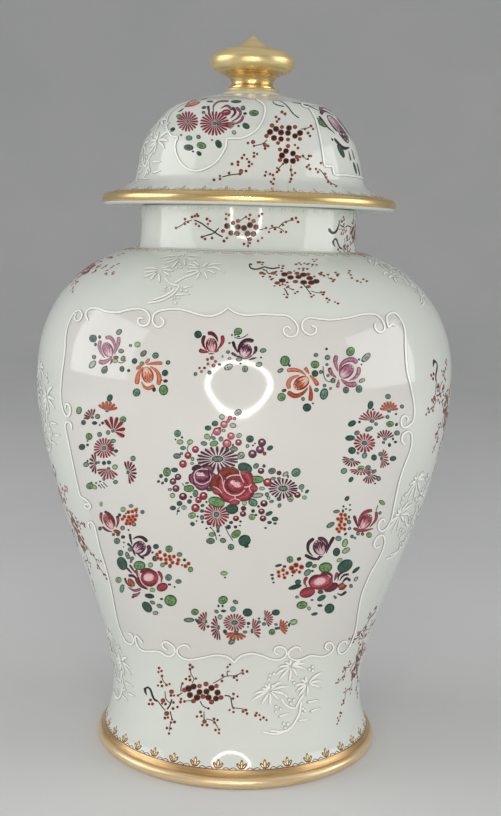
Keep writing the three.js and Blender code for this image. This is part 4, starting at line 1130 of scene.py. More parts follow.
BOUQUET = {
    "leaves": {
        "teal": [(177.5, 433.5, 7), (296, 472.5, 10, 8, 35), (253, 502.5, 10, 7.5, -25),
                 (301.5, 487, 6.5, 5, 40), (195.5, 493.5, 6, 7), (231, 547, 7, 6)],
        "dark": [
            (182, 437.5, 2.5), (175.5, 439.5, 2), (233, 445, 2.5), (253, 445.5, 2.5, 2, 45),
            (255, 443.5, 2), (302, 491, 2), (258.5, 506.5, 3), (269.5, 522.5, 5, 3.5), (275, 523.5, 4, 2.5),
            (265.5, 528, 3, 2), (253, 511, 4), (256, 515, 3, 2.5), (206.5, 502, 2.5), (202.5, 522, 3),
            (197.5, 516.5, 2.5), (196.5, 521, 2), (231, 522.5, 4.5, 3.5), (228.5, 527, 5), (240, 525.5, 2),
            (240.5, 521.5, 3, 2.5), (206.5, 528.5, 3, 2, 20), (210.5, 527.5, 2), (187, 483, 4.5, 2, 5),
            (178.5, 511, 3, 2.5), (191, 497, 3, 2.5), (246.5, 546.5, 5, 3, 10), (219.5, 535.5, 2, 2, -45),
        ],
        "olive": [(180, 442, 7, 5), (190, 442, 6.5, 5, 20), (207, 436.5, 6, 5.5), (244.5, 503, 5),
                  (290.5, 499, 6.5, 6), (304.5, 497.5, 5, 4), (192, 515.5, 8, 6, 10), (172.5, 495.5, 5.5, 5),
                  (252, 517, 7, 6)],
        "grey": [(183, 448, 6, 4), (177, 456, 8, 5.5), (181.5, 453.5, 3.5, 3), (213.5, 438, 5, 3.5, -35),
                 (204, 443.5, 7, 4.5, -10), (221, 439, 5), (234, 449, 8, 5.5), (256, 466, 6.5, 5, 40),
                 (272, 471, 8, 6, 15), (273, 478.5, 6, 3, 10), (279, 478.5, 4, 3), (288, 476.5, 2.5, 3),
                 (267, 494.5, 4.5), (271.5, 501.5, 5, 3, 10), (279.5, 505.5, 5, 3.5, 60),
                 (202, 517.5, 4.5, 5), (218, 527, 4, 5), (210.5, 541, 9, 6), (223, 540.5, 6.5, 5, -10)],
        "apple": [
            (167, 472, 8, 9), (214, 443.5, 9, 5.5, 15), (257, 479.5, 14, 7.5), (216.5, 502, 17, 10, -15),
            (189, 488.5, 11, 7, 5), (212, 534.5, 7, 4.5), (236, 534, 11, 7, 35),
        ],
        "deep": [
            (174.5, 470, 5, 6.5, 90), (161, 476, 4), (166, 480, 4, 4.5), (158.5, 481.5, 3, 3, -45),
            (162.5, 483, 3, 3, -40), (215, 423.5, 7, 5.5, 10), (208, 428, 7, 5), (250, 439, 8, 7),
            (227, 449, 4, 2.5), (270, 448, 7, 4.5, 30), (264, 466, 3.5), (307, 491.5, 5, 3, 45),
            (279, 499, 5, 4), (269, 513.5, 8, 4, 25), (275, 519, 7, 4.5), (245, 468, 15, 10, -20),
            (209.5, 489.5, 4, 7, 90), (232, 509, 13, 10), (202.5, 505.5, 4.5, 3, 15), (202, 511, 4.5, 3.5),
            (192.5, 524, 5, 4, -20), (218, 531, 3.5), (179.5, 503.5, 6, 5), (189.5, 501.5, 5, 4.5),
            (173, 508, 6.5, 4.5), (244.5, 540.5, 13, 11, 20),
        ],
        "pale": [(222, 417, 6, 5.5), (238, 412.5, 8, 6, 30), (233, 425.5, 7, 5, -10),
                 (223.5, 430.5, 4.5, 3.5, -10), (239, 435.5, 6, 4.5, 25), (241, 455.5, 8, 7, 45),
                 (247.5, 446, 4), (192.5, 459, 4), (192, 463.5, 4, 3), (199, 461, 3), (285.5, 474, 7, 4, 35),
                 (262, 488.5, 6, 3.5), (257.5, 495.5, 12, 5, 8), (268.5, 498, 4, 3.5), (170, 489.5, 4.5, 3),
                 (184, 507.5, 5.5, 4.5)],
        "brown": [(264.5, 453.5, 4)],
    },
    "dots": {
        "crimson": [(195.5, 449.5, 3.61), (188, 455.5, 3.61), (183, 464, 3.99), (203.5, 496, 4.18),
                    (198.5, 500, 3.42), (195.5, 508, 4.37), (267.5, 482.5, 4.37), (238.5, 442.5, 3.42)],
        "berry": [(178, 477, 3.42), (173, 481.5, 3.42), (176, 488.5, 3.61), (262, 442.5, 4.18),
                  (260, 449.5, 4.18), (252.5, 454, 4.37)],
        "maroon": [
            (183, 496.5, 4.18), (261, 471, 3.42), (279, 473, 2.66), (297.5, 495, 3.42), (264, 503.5, 3.8),
            (261.5, 511.5, 3.42), (263, 518.5, 3.42), (243.5, 508.5, 2.85), (243, 514, 3.23),
            (236, 518.5, 3.23), (235.5, 527, 1.9), (208.5, 523.5, 1.9), (219.5, 428.5, 1.9),
        ],
        "pale_berry": [(217, 431.5, 4.18), (224, 424.5, 3.8), (228, 421, 1.9), (230, 418, 2.47),
                       (234.5, 418.5, 1.9), (231, 436, 3.8), (227, 443.5, 4.56)],
    },
    "lines": [
        ("dark", 1, [225, 526, 228, 533, 233, 541]), ("dark", 1, [211, 528, 215, 533, 216.5, 540]),
        ("dark", 1, [182, 483, 185, 487]), ("dark", 1, [180, 507, 177.5, 510, 177, 515]),
        ("dark", 1, [190, 443, 187, 449, 189, 453]), ("dark", 1, [213, 432, 209, 441]),
        ("mauve", 21, [190, 478, 215, 478], "dab"), ("mauve_lobe", 6.5, [190.5, 473.5, 192.5, 484], "dab"),
        ("mauve_lobe", 6.5, [203, 468.7, 208.5, 467.3, 213.5, 472], "dab"),
        ("mauve_lobe", 6.5, [213.3, 472.5, 212.8, 481.5], "dab"),
        ("mauve_lobe", 7.5, [195, 484.5, 202, 487.3, 209.5, 484], "dab"),
        ("aubergine", 7, [191.5, 469.3, 201.5, 466.3], "dab"),
        ("mauve_lobe", 15, [195, 477, 210, 476], "dab"),
        ("lilac", 1.3, [208, 469.3, 200.5, 469, 195.3, 472, 194.2, 478, 197, 482.7, 203, 484.3, 209, 481.5]),
        ("lilac", 1.2, [209.3, 472, 211, 476.5, 209.5, 482]),
        ("lilac", 8.5, [195.8, 473.7, 206.5, 476.3], "dab"), ("mauve", 0.9, [198, 471.7, 202, 477.3]),
        ("mauve", 0.9, [202.3, 471.7, 206, 476]),
        ("aubergine", 5.2, [208.7, 470.3, 209.7, 476.5, 205.7, 480.7, 198.5, 481.3]),
        ("aubergine", 2.8, [199, 471.7, 202.3, 471.7], "dab"),
        ("crimson", 31, [214.5, 487, 256, 487], "dab"),
        ("red_lobe", 11.5, [217.5, 474.5, 213.8, 484, 219, 492.5], "dab"),
        ("red_lobe", 10.5, [217.5, 476.5, 226, 471.3, 239.5, 472], "dab"),
        ("lobe", 11, [240.5, 472, 248, 476.5, 251, 486], "dab"),
        ("lobe", 11.5, [251, 487.5, 247, 495, 237.5, 498.5], "dab"),
        ("lobe", 11, [221, 490.5, 226.5, 497, 237, 499], "dab"),
        ("lobe", 7, [229, 502.3, 240, 502.3], "dab"), ("lobe", 8, [212.3, 489.3, 221.3, 493], "dab"),
        ("lobe", 8.5, [249.7, 488.5, 258, 488.5], "dab"), ("lobe", 19, [224, 485, 245, 485], "dab"),
        ("blush", 1.5, [240.5, 475, 232, 475.3, 226, 478.8, 223.4, 485, 226, 491.7, 232.5, 495.3,
                        239.7, 494.5, 245, 490]),
        ("blush", 1.3, [239.3, 470.5, 240.7, 476, 244, 482.5]),
        ("blush", 1.2, [244, 487, 248, 486.8, 252, 484.3]), ("blush", 1.4, [235, 495.5, 235.3, 499]),
        ("blush", 1.3, [229.3, 500.7, 235, 498.7, 240.3, 500.5]),
        ("blush", 1.3, [213.3, 486.3, 218.7, 489, 222, 493.3]),
        ("blush", 1.2, [250.3, 484.7, 249.3, 488.5, 251.7, 492.7]),
        ("blush", 1.1, [219, 473.5, 222, 478, 222.3, 484]),
        ("blush", 9, [229.7, 481.5, 241.7, 486.3], "dab"), ("pink", 0.9, [233, 480, 237.7, 486.5]),
        ("pink", 0.9, [236.7, 480, 240.7, 485.7]),
        ("maroon", 6, [226, 478, 227, 486, 232.5, 491.3, 241, 491.5]),
        ("maroon", 2.6, [234.3, 481.2, 237.6, 481.2], "dab"),
    ],
    "daisies": [
        ("purple", 217.5, 459, 12, 6.8, 21, 13, 20, 0, 346),
        ("crimson", 216.5, 514.5, 6, 6, 13, 13, 20, 0, 346),
        ("purple", 283, 488.5, 10, 6.5, 15, 10.5, 20, 0, 346),
    ],
}
# A broad leaf's ribs, from and to, as shares of its half length and half width
LEAF_RIBS = (((-0.8, 0), (0.7, 0.1)), ((-0.4, 0), (0, 0.62)), ((0.05, 0.05), (0.42, 0.6)),
             ((-0.35, 0), (0.1, -0.6)))
# A flower egg's streaks: share of the width across, then of the length where one starts and ends
BUD_STREAKS = ((-0.31, 0.27, -0.08), (-0.16, 0.4, -0.24), (0, 0.46, -0.12), (0.16, 0.4, -0.26),
               (0.31, 0.27, -0.04))
# Specks on a daisy's eye, as shares of its width and height
EYE_SPECKS = ((-0.3, 0.05), (-0.08, -0.22), (0.1, 0.2), (0.28, -0.08))
PALE_LOAD, EGG_LOAD, RIB_LOAD, EYE_LOAD = (0.2, 0.12, 0.05), (0.24, 0.1), (1, 1, 1), (0.95, 0.62, 0.52)
# Of a daisy: how wide a petal and its pale wash are as shares of the gap, how much darker the petals are than
# their mixture, and how large a speck on its eye is
PETAL_SHARE, WASH_SHARE, DAISY_DEEPER, SPECK_SHARE = 0.74, 1.1, 0.18, 0.12
# Heights in millimetres, from the washes up to the specks that lie on top
WASH_LIFT, STREAK_LIFT, LEAF_LIFT, BERRY_LIFT, RIB_LIFT, EYE_LIFT, HIGHLIGHT_LIFT, SPECK_LIFT = (
    0.05, 0.09, 0.09, 0.12, 0.14, 0.16, 0.17, 0.19)
STROKE_LIFT, STROKE_RISE = 0.09, 0.003
# In pixels: under what width a stroke is a line, from what width it is a flower's body, how large a leaf with
# ribs and a berry with a painted highlight on it are, and a floret's radius
LINE_WIDTH, BODY_WIDTH, RIBBED_LEAF, HIGHLIGHTED_BERRY, FLORET_RADIUS = 1.55, 12, 5.5, 3.1, 2.2


def heading_of(degrees):
    """The direction of an angle, on pixels that count downwards."""
    return np.array([math.cos(math.radians(degrees)), -math.sin(math.radians(degrees))])


def leaf(drawing, mixture, x, y, long, wide=None, turn=0):
    """A leaf, filled within a thin dark outline. A broad one has its ribs drawn in."""
    pigment, load = MIXTURES[mixture]
    wide = wide or long
    reach = heading_of(turn) * max(long, 1.2) / 2
    middle = np.array([x, y])
    drawing.stroke(pigment, [middle - reach, middle + reach], wide * 1.08, load, "dab", LEAF_LIFT)
    side = np.array([-reach[1], reach[0]]) / np.hypot(*reach) * wide / 2
    for start, end in LEAF_RIBS if min(long, wide) > RIBBED_LEAF else ():
        path = [middle + reach * along + side * across for along, across in (start, end)]
        drawing.stroke("teal_enamel", path, 0.8, RIB_LOAD, "swell", RIB_LIFT)


def bud(drawing, mixture, x, y, long, wide, turn):
    """The egg of a half open flower: a pale wash within a dark edge, and streaks that run from its tip."""
    pigment, load = MIXTURES[mixture]
    middle, tip = np.array([x, y]), heading_of(turn)
    side = np.array([-tip[1], tip[0]]) * wide
    reach = tip * long
    egg = [middle - reach / 2, middle + reach / 2]
    drawing.stroke(pigment, egg, wide, (load[0], *EGG_LOAD), "dab", WASH_LIFT)
    for across, start, end in BUD_STREAKS:
        path = [middle + side * across + reach * start, middle + side * across * 0.7 + reach * end]
        drawing.stroke(pigment, path, wide * 0.2, load, "comma", STREAK_LIFT)


def daisy(drawing, mixture, x, y, core_wide, core_high, wide, high, petals, first, last):
    """A daisy or the half of one: dark narrow petals over pale ones round a speckled green eye."""
    pigment, load = MIXTURES[mixture]
    load = [min(1, share + DAISY_DEEPER) for share in load]
    centre, core = np.array([x, y]), (core_wide / 2, core_high / 2)
    step = math.radians(abs(last - first)) / max(petals - 1, 1)
    for angle in np.linspace(first, last, petals):
        heading = heading_of(angle)
        petal = [centre + heading * core, centre + heading * (wide, high)]
        gap = step * min(math.hypot(wide * heading[1], high * heading[0]), (wide + high) / 2)
        drawing.stroke(pigment, petal, gap * WASH_SHARE, PALE_LOAD, "petal", WASH_LIFT)
        drawing.stroke(pigment, petal, max(1.0, gap * PETAL_SHARE), load, "petal", 2 * WASH_LIFT)
    eye = [centre - (core_wide / 2, 0), centre + (core_wide / 2, 0)]
    drawing.stroke("grey_enamel", eye, core_high, EYE_LOAD, "dab", EYE_LIFT)
    for across, up in EYE_SPECKS:
        spot = (x + across * core_wide, y + up * core_high)
        dot(drawing, "teal_enamel", *spot, core_high * SPECK_SHARE, RIB_LOAD, SPECK_LIFT)


def berry(drawing, mixture, x, y, radius=FLORET_RADIUS):
    """A berry or a closed bud: a round dab, and a large one has a painted highlight on it."""
    pigment, load = MIXTURES[mixture]
    dot(drawing, pigment, x, y, radius, load, BERRY_LIFT)
    if radius > HIGHLIGHTED_BERRY:
        # A pale dab up and to the left of the middle is a painted highlight
        left, above = x - radius * 0.45, y - radius * 0.3
        light = [(left, above), (left + radius * 0.8, above)]
        drawing.stroke(pigment, light, radius * 0.66, PALE_LOAD, "dab", HIGHLIGHT_LIFT)


def spray(parts):
    """Paint one group of sprays from its leaves, daisies, eggs, lines and dots."""
    drawing = Drawing()
    for mixture, leaves in parts["leaves"].items():
        for numbers in leaves:
            leaf(drawing, mixture, *numbers)
    for numbers in parts.get("daisies", ()):
        daisy(drawing, *numbers)
    for numbers in parts.get("buds", ()):
        bud(drawing, *numbers)
    for order, (mixture, width, path, *named) in enumerate(parts["lines"]):
        pigment, load = MIXTURES[mixture]
        shape = named[0] if named else "line" if width < LINE_WIDTH else "comma"
        wash = width > BODY_WIDTH and "lobe" not in mixture
        lift = WASH_LIFT if wash else STROKE_LIFT + order * STROKE_RISE
        drawing.stroke(pigment, path, width, load, shape, lift)
    for mixture, dots in parts.get("dots", {}).items():
        for numbers in dots:
            berry(drawing, mixture, *numbers)
    return drawing


for parts in (TOP_SPRAYS, SIDE_SPRAYS, LOW_SPRAYS, BOTTOM_SPRAY, BOUQUET):
    lay(spray(parts), jar_wall, repeated(jar_wall))

# How the ornament goes round
# Plum and bamboo alternate round the shoulder and above the foot, and stand in two columns in the ground
# between the big panels. All that is on the front is painted again behind.

# A place is the turn round the jar, the distance up the wall and, for some, the turn in the drawing
SIDE_PLUMS = ((70.4, 233, -58), (-65, 148, -80))
SIDE_BAMBOOS = ((59.7, 169, 12), (-70, 230, 4))
HANGING_PLUM, NECK_SIDE_PLUM = (63, 58, -98), (77, 376)
QUARTERS = (0, 90, 180, 270)

for spot in SIDE_PLUMS:
    lay(body_plum, jar_wall, moved(jar_wall, PLUM_ANCHOR, jar_wall, *spot, size=1.05))
for spot in SIDE_BAMBOOS:
    lay(bamboo, jar_wall, moved(jar_wall, BAMBOO_ANCHOR, jar_wall, *spot, size=1.15))
for drawing in (bamboo, shoulder_bamboo, shoulder_plum):
    lay(drawing, jar_wall, repeated(jar_wall, QUARTERS))
lay(body_plum, jar_wall, repeated(jar_wall))
# A plum hangs down either side of the foot, its hook uppermost
lay(body_plum, jar_wall, moved(jar_wall, PLUM_ANCHOR, jar_wall, *HANGING_PLUM, size=0.95))
# Round the neck: the front's plum and its repeat behind, and a spray with a hook on either side
for drawing in (neck_plum, neck_hook):
    lay(drawing, jar_wall, repeated(jar_wall))
lay(body_plum, jar_wall, moved(jar_wall, PLUM_ANCHOR, jar_wall, *NECK_SIDE_PLUM, size=0.8))

# The panels of the cover
# The cover repeats the scheme of the jar in small: two lobed and two notched frames of white slip with
# flowers in them, and plum and bamboo on the ground between.
LOBED_FRAME = [
    172, 136.5, 178, 137.5, 176, 141, 175, 147, 177, 156, 181, 163, 188, 169, 197, 171, 207, 168, 216, 162,
    222, 154, 226, 146, 227, 139, 233, 138.5, 242, 138, 251, 134, 259, 127, 264, 117, 265, 108, 262, 103,
    256, 99.5,
]
LOBED_FRAME_TOP = [
    256, 99.5, 243, 97.3, 230, 96.5, 215, 97, 200, 99, 190, 101.5, 178, 107, 170, 114, 167, 122, 167.5, 130,
    172, 136.5,
]
# Half of the notched frame, up to its middle, which lies at an angle of 65 degrees; the other half mirrors it
NOTCHED_MIDDLE = 65
NOTCHED_FRAME = [
    [301, 103.5, 307, 104.3, 314, 105.3, 321.5, 106.8, 324.4, 107.5], [301, 103.5, 303.5, 107],
    [303.5, 107, 309, 107.8], [309, 107.8, 315, 118, 318, 128, 321, 143, 324.5, 166],
    [324.5, 166, 332.5, 166.5], [332.5, 166.5, 334, 175], [334, 175, 344, 175, 356, 176.6],
]
COVER_SPRAY = {
    "leaves": {
        "dark": [(172.5, 129.5, 6, 4.5, 30), (245, 113.5, 4, 3), (238.5, 126, 3, 2.5), (212, 140, 2.5, 2),
                 (193, 151.5, 2.5, 2), (199, 153.5, 6, 4.5, -40)],
        "apple": [(179, 116.5, 5.5, 5), (254, 113, 10, 6), (201.5, 145.5, 10, 6.5, -15)],
        "grey": [(203.5, 112.5, 4, 3), (243, 108, 5, 4.5), (181, 135, 2.5, 2), (198.5, 137, 4.5, 4.5, 60)],
        "deep": [(204, 107.5, 5, 3, 15), (210, 101.5, 7, 2.5), (236, 101.5, 11, 3.5),
                 (246, 126, 8, 5.5, -30), (188.5, 147.5, 10, 6, -5), (218.5, 144, 9, 6, -65)],
        "teal": [(189, 138, 7, 5)], "pale": [(234, 132.5, 5, 4, -40)],
    },
    "lines": [
        ("orange", 6, [184.5, 106.5, 200.5, 102], "dab"), ("red", 2.4, [185, 107, 190, 102, 199, 100.7]),
        ("red", 2, [188, 106.5, 197, 103]), ("brown", 2.2, [184, 108, 181, 110.5, 178, 112], "swell"),
        ("dark", 1.6, [200, 100.5, 210, 97], "swell"), ("crimson", 6.5, [221, 113.5, 231, 111.5], "dab"),
        ("mauve", 3.4, [229, 101, 219, 101.5, 213.5, 106, 213.7, 114]),
        ("purple", 3.6, [208, 105.5, 209.5, 115]), ("mauve", 3.6, [232.5, 110, 227, 105.7, 220.5, 108.5]),
        ("purple", 4, [232.5, 107, 235.3, 112.5, 230.5, 118.5]),
        ("mauve", 4, [236, 107, 240.7, 112.7, 237, 118.5, 231.5, 121.5]),
        ("mauve", 3.6, [243.5, 115.5, 240.5, 121.3, 231.5, 125]),
        ("lilac", 1, [223, 112.3, 229, 111], "swell"),
    ],
    "daisies": [
        ("crimson", 187.5, 121.5, 3, 3, 11, 10.5, 18, 0, 340),
        ("crimson", 214.5, 123.5, 5, 3.8, 15, 12.5, 22, 0, 344),
        ("crimson", 219, 123.5, 5, 3.5, 16.5, 8, 7, -40, 12),
    ],
}
# The flower in the notched panel turns away from the camera, so it is drawn square on and carried there: a
# pixel here is a millimetre on the cover
NOTCHED_SPRAY = {
    "leaves": {
        "apple": [(221, 446, 9, 6, -35)], "dark": [(223, 457.5, 2.2, 2), (226, 451, 2)],
        "deep": [(229, 464, 9, 5.5, -60), (244, 473.5, 7.5, 4, -70), (251.5, 474, 8, 3.6, -75)],
    },
    "lines": [
        ("dark", 2.2, [212, 430, 221, 432, 229, 437], "swell"),
        ("aubergine", 4.4, [224, 441, 224.5, 448, 228, 454]),
        ("aubergine", 4.4, [225, 457, 232, 462, 242, 461.5]),
        ("purple", 3.4, [227, 439.5, 235, 436, 246, 439]), ("mauve", 3, [230, 436, 240, 432, 251, 436]),
        ("purple", 3.2, [248, 441, 253, 448, 251, 457]), ("mauve", 3, [252, 438, 258, 447, 256, 458]),
        ("purple", 2.8, [239, 469.5, 239, 463.5]), ("purple", 2.8, [246, 468.5, 245, 462]),
    ],
    "buds": [("purple", 239, 449, 21, 16, 300)],
}
NOTCHED_SPRAY_ANCHOR, NOTCHED_SPRAY_SPOT, COVER_BAMBOO = (240, 450), (62, 53.5), (-68, 34)


def mirrored(wall, middle):
    """Places for a traced drawing: mirrored about an angle in degrees, and again behind."""
    return [lambda spots, half=half: (wall, spots * (-1, 1) + np.array([math.radians(2 * middle + half), 0]))
            for half in FRONT_AND_BACK]


lobed_frame, notched_frame = Drawing(), Drawing()
for frame_half, cords in ((lobed_frame, (LOBED_FRAME, LOBED_FRAME_TOP)), (notched_frame, NOTCHED_FRAME)):
    for cord in cords:
        frame_half.stroke("white_slip", cord, CORD_WIDTH, CORD, lift=CORD_HEIGHT)
for drawing in (lobed_frame, notched_frame, spray(COVER_SPRAY), cover_plum):
    lay(drawing, cover_wall, repeated(cover_wall))
lay(notched_frame, cover_wall, mirrored(cover_wall, NOTCHED_MIDDLE))
notched_places = moved(jar_wall, NOTCHED_SPRAY_ANCHOR, cover_wall, *NOTCHED_SPRAY_SPOT, size=1.8)
lay(spray(NOTCHED_SPRAY), jar_wall, notched_places)
lay(bamboo, jar_wall, moved(jar_wall, BAMBOO_ANCHOR, cover_wall, *COVER_BAMBOO))

# The painted gilding
# Borders brushed in liquid gold and outlined in iron brown: fleurs above the gilt foot, small lotus buds
# above the gilt brim, and worn scallops where the shoulder meets the neck.
FOOT_FLEURS, BRIM_BUDS, NECK_SCALLOPS, NECK_KEYS = 38, 40, 44, 60
GILT_LINE = (1, 1, 0.9)
GILT_FILL = (0.62, 0.52, 0.46)
WORN_LINE = (0.12, 0.1, 0.06)
LINE_LIFT, GOLD_LIFT = 0.08, 0.2


def border(wall, count, height, figure, offset=0.0):
    """Repeat a small figure round a wall. It is strokes of (pigment, width, load, points in mm)."""
    for i in range(count):
        drawing = Drawing()
        drawing.order = i
        for pigment, width, load, path in figure:
            lift = GOLD_LIFT if pigment == "painted_gold" else LINE_LIFT
            drawing.stroke(pigment, path, width, load, "line" if len(path) > 2 else "dab", lift)
        middle = 2 * math.pi * (i + offset) / count
        for pigment, kept in drawing.pigments.items():
            flat = np.array(kept["points"]) * MM
            along = height * MM + flat[:, 1]
            around = middle + flat[:, 0] / np.interp(along, wall["s"], wall["r"])
            keep(wall, pigment, on_wall(wall, around, along, np.array(kept["lift"])), kept)


def both_ways(*stroke):
    """A stroke of a border's figure, and its mirror image."""
    *brush, path = stroke
    return [stroke, (*brush, [(-x, y) for x, y in path])]


FLEUR = [
    ("gilt_outline", 2.5, GILT_LINE, [(0, 0.2), (0, 6.4)]),
    *both_ways("gilt_outline", 2, GILT_LINE, [(-0.4, 0.6), (-2, 2.6), (-3, 4.2)]),
    ("painted_gold", 1.5, GILT_FILL, [(0, 0.9), (0, 5.6)]),
    *both_ways("painted_gold", 1.1, GILT_FILL, [(-0.8, 1.2), (-2.6, 3.6)]),
    *both_ways("gilt_outline", 0.6, GILT_LINE,
               [(-3, 0.2), (-4.4, 1.5), (-5.4, 0.7), (-6.4, 1.5), (-7.5, 0.3)]),
    ("gilt_outline", 0.6, GILT_LINE, [(-7.6, 0), (0, 0), (7.6, 0)]),
]
LOTUS_BUD = [
    ("gilt_outline", 2, GILT_FILL, [(0, 0.4), (0, 6.2)]),
    ("painted_gold", 1.2, GILT_FILL, [(0, 0.9), (0, 5.4)]),
    *both_ways("gilt_outline", 0.5, GILT_FILL, [(-1.2, 1), (-3.4, 3), (-5.2, 0.8)]),
    ("gilt_outline", 0.5, GILT_LINE, [(-6.7, 0), (0, 0), (6.7, 0)]),
]
SCALLOP = [
    ("gilt_outline", 0.6, GILT_FILL, [(-5.2, -0.4), (-3, -4.2), (0, -5.4), (3, -4.2), (5.2, -0.4)]),
    ("gilt_outline", 0.5, GILT_FILL, [(-3, -1.2), (0, -3), (3, -1.2)]),
    ("gilt_outline", 0.6, GILT_LINE, [(-5.2, 0), (0, 0), (5.2, 0)]),
]
KEY = [("gilt_outline", 0.3, WORN_LINE, [(-2.4, 0.2), (-2.2, 2.1), (0.2, 2.2), (0.6, 1), (-0.8, 1)])]
# Heights of the foot's gilding, the neck's joint and the rim, and from the gilt brim up to its border
BORDER_HEIGHTS = np.array([BROWN_BAND[1], 332.4, 356.4])
BRIM_EDGE = 1.0
foot_edge, neck_joint, neck_top = np.interp(BORDER_HEIGHTS * MM, jar_wall["z"], jar_wall["s"]) / MM
border(jar_wall, FOOT_FLEURS, foot_edge, FLEUR, 0.3)
border(cover_wall, BRIM_BUDS, BRIM_EDGE, LOTUS_BUD)
border(jar_wall, NECK_SCALLOPS, neck_joint, SCALLOP)
border(jar_wall, NECK_KEYS, neck_top, KEY)

# The fired colours
# Each pigment is ground lead glass with a metal oxide. Where it lies thin the porcelain shines through, where
# it pools it turns deep and dark, so a colour follows how thick its stroke lies.
FIRED_COLOURS = {
    # Copper green with a little cobalt: blue green, near black where it pools
    "teal_enamel": ((0, "#C6D1C8"), (0.25, "#9FB3A6"), (0.5, "#648C79"), (0.75, "#2C5A4B"), (1, "#102A24")),
    # The same green greyed with manganese, for the small leaves
    "grey_enamel": ((0, "#CACFC7"), (0.25, "#A2AC9F"), (0.5, "#6E8072"), (0.75, "#384E43"), (1, "#14221C")),
    # Copper green with lead antimonate yellow: fresh apple green
    "apple_enamel": ((0, "#CFD6BC"), (0.3, "#A6B78E"), (0.55, "#739A5E"), (0.8, "#447040"), (1, "#1A381C")),
    # Colloidal gold in glass: the rose pink that this ware is known by
    "rose_enamel": ((0, "#E2D0D0"), (0.25, "#D2989F"), (0.5, "#B34A60"), (0.75, "#8B2331"), (1, "#3A0D12")),
    # Rose with a little cobalt and manganese: cool mauve to aubergine
    "mauve_enamel": ((0, "#DED0D6"), (0.25, "#C294A4"), (0.5, "#964B68"), (0.75, "#541C3A"), (1, "#200A19")),
    # Iron oxide in a thin flux: orange where thin, brick red where thick
    "iron_red": ((0, "#E2CFC0"), (0.25, "#DBA68C"), (0.5, "#C66A44"), (0.75, "#A13A20"), (1, "#52160B")),
    # Iron and manganese: a purple brown that goes almost black
    "plum_brown": ((0, "#DCCFC8"), (0.35, "#BC7C64"), (0.6, "#94422F"), (0.8, "#521F15"), (1, "#200C06")),
    # Manganese black for branches and outlines
    "manganese_black": ((0, "#A39C94"), (0.4, "#4A403D"), (1, "#1B1614")),
    # Iron brown lines round the gilding, rubbed by wear
    "gilt_outline": ((0, "#C4BCA8"), (0.5, "#A07E58"), (1, "#6A452C")),
    # White kaolin slip under the clear glaze, which thins over the crest of a cord. Its greys at low loads are
    # painted
    #     # shade along the edges of each raised stroke, with a little glaze pooled there
    "white_slip": ((0, "#8F968F"), (0.35, "#B4BAB4"), (0.6, "#E8EAE6"), (1, "#FAFAF7")),
}

for (body, pigment), store in painted_on.items():
    coat = gold if pigment == "painted_gold" else bpy.data.materials.get(pigment)
    if not coat:
        coat = material_named(pigment)
        place = node(coat, "TexCoord").outputs["Object"]
        brushed = node(coat, "TexNoise", {"Vector": place, "Scale": 900.0, "Detail": 2.0}).outputs[0]
        lay_of = node(coat, "Attribute", attribute_name="load").outputs["Fac"]
        uneven = node(coat, "MapRange", {0: brushed, 1: 0.3, 2: 0.7, 3: -0.1, 4: 0.1}).outputs[0]
        thick = node(coat, "Math", {0: lay_of, 1: uneven}, operation="ADD", use_clamp=True).outputs[0]
        colour = ramp(coat, thick, *FIRED_COLOURS[pigment])
        finish_material(coat, Base_Color=colour, Roughness=0.09 if pigment == "white_slip" else 0.2, IOR=1.5)
    mesh = bpy.data.meshes.new(pigment + "_on_" + body)
    mesh.from_pydata(np.concatenate(store["xyz"]).tolist(), [], store["faces"])
    mesh.attributes.new("load", "FLOAT", "POINT").data.foreach_set("value", np.concatenate(store["load"]))
    mesh.materials.append(coat)
    painted = bpy.data.objects.new(mesh.name, mesh)
    bpy.context.scene.collection.objects.link(painted)
    bpy.ops.object.select_all(action="DESELECT")
    bpy.context.view_layer.objects.active = painted
    painted.select_set(True)
    bpy.ops.object.mode_set(mode="EDIT")
    bpy.ops.mesh.select_all(action="SELECT")
    bpy.ops.mesh.normals_make_consistent(inside=False)
    bpy.ops.object.mode_set(mode="OBJECT")
    bpy.ops.object.shade_smooth()
    finished(painted, body, "gilding" if pigment == "painted_gold" else "porcelain")


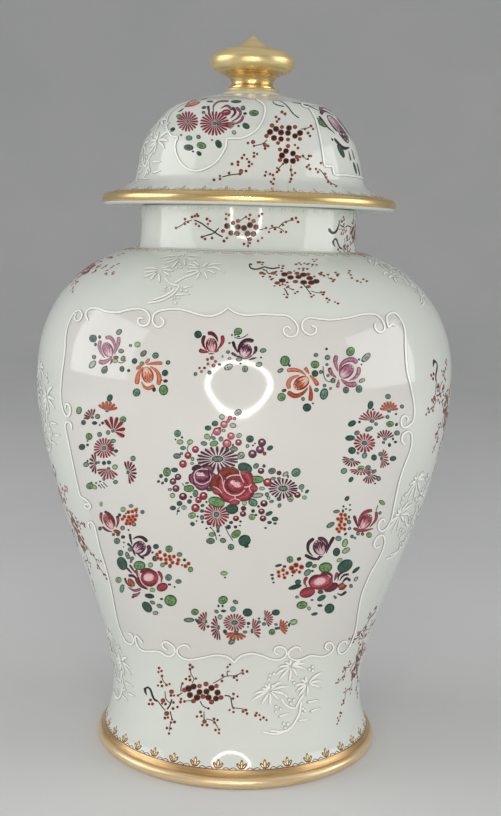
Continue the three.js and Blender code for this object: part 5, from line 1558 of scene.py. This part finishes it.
# The studio
# A plain pale floor that curves up all round into a plain backdrop, a large soft box at either side, and the
# ring lamp round the lens, whose mirror image shows in the glaze.
SWEEP_OUTLINE = [(0, 0, None, None, 0), (2200, 0, None, (3000, 0), 0), (3400, 1000, (3400, 400), None, 0),
                 (3400, 3400, None, None, 0)]
sweep, _ = turned("studio_sweep", SWEEP_OUTLINE)
bpy.ops.object.mode_set(mode="EDIT")
bpy.ops.mesh.select_all(action="SELECT")
bpy.ops.mesh.flip_normals()
bpy.ops.object.mode_set(mode="OBJECT")
paper = material_named("studio_paper")
place = node(paper, "TexCoord").outputs["Object"]
fibre = node(paper, "TexNoise", {"Vector": place, "Scale": 3.0, "Detail": 4.0}).outputs[0]
finish_material(paper, Base_Color=ramp(paper, fibre, (0.3, "#D6D7D8"), (0.7, "#DCDDDD")), Roughness=0.85)
sweep.data.materials.append(paper)

# The ring lamp: a flat glowing ring round the lens, with its inner and outer radius, turned to face the jar
RING_LAMP = (190, 232)
RING_LAMP_SHIFT = Vector((-0.04, 0, -0.07))
ring_knots = [(radius, 0, None, None, 0) for radius in RING_LAMP]
ring_lamp, _ = turned("ring_lamp", ring_knots)
glow = material_named("lamp_glow")
shine = node(glow, "Emission", {"Color": linear("#FFF8F0"), "Strength": 15.0})
node(glow, "OutputMaterial", {"Surface": shine.outputs[0]})
ring_lamp.data.materials.append(glow)
ring_lamp.visible_camera = False
ring_lamp.data.transform(Matrix.Translation(CAMERA_PLACE + RING_LAMP_SHIFT) @ CAMERA_TURN.to_4x4())


JAR_MIDDLE = Vector((0, 0, 0.24))


def soft_box(name, place, width, height, power):
    """A rectangular lamp turned towards the middle of the jar."""
    light = bpy.data.lights.new(name, "AREA")
    light.shape = "RECTANGLE"
    light.size, light.size_y = width, height
    light.energy = power
    box = bpy.data.objects.new(name, light)
    box.location = place
    box.rotation_euler = (JAR_MIDDLE - Vector(place)).to_track_quat("-Z", "Y").to_euler()
    bpy.context.scene.collection.objects.link(box)


soft_box("left_box", (-1.45, -0.2, 0.7), 1.2, 1.0, 8.5)
soft_box("right_box", (1.45, -0.25, 0.65), 1.1, 0.95, 7.5)
AIR_COLOUR, AIR_STRENGTH = "#D8D8D6", 0.74
world = bpy.data.worlds.new("studio_air")
world.use_nodes = True
air = world.node_tree.nodes["Background"].inputs
air["Color"].default_value = linear(AIR_COLOUR)
air["Strength"].default_value = AIR_STRENGTH
bpy.context.scene.world = world
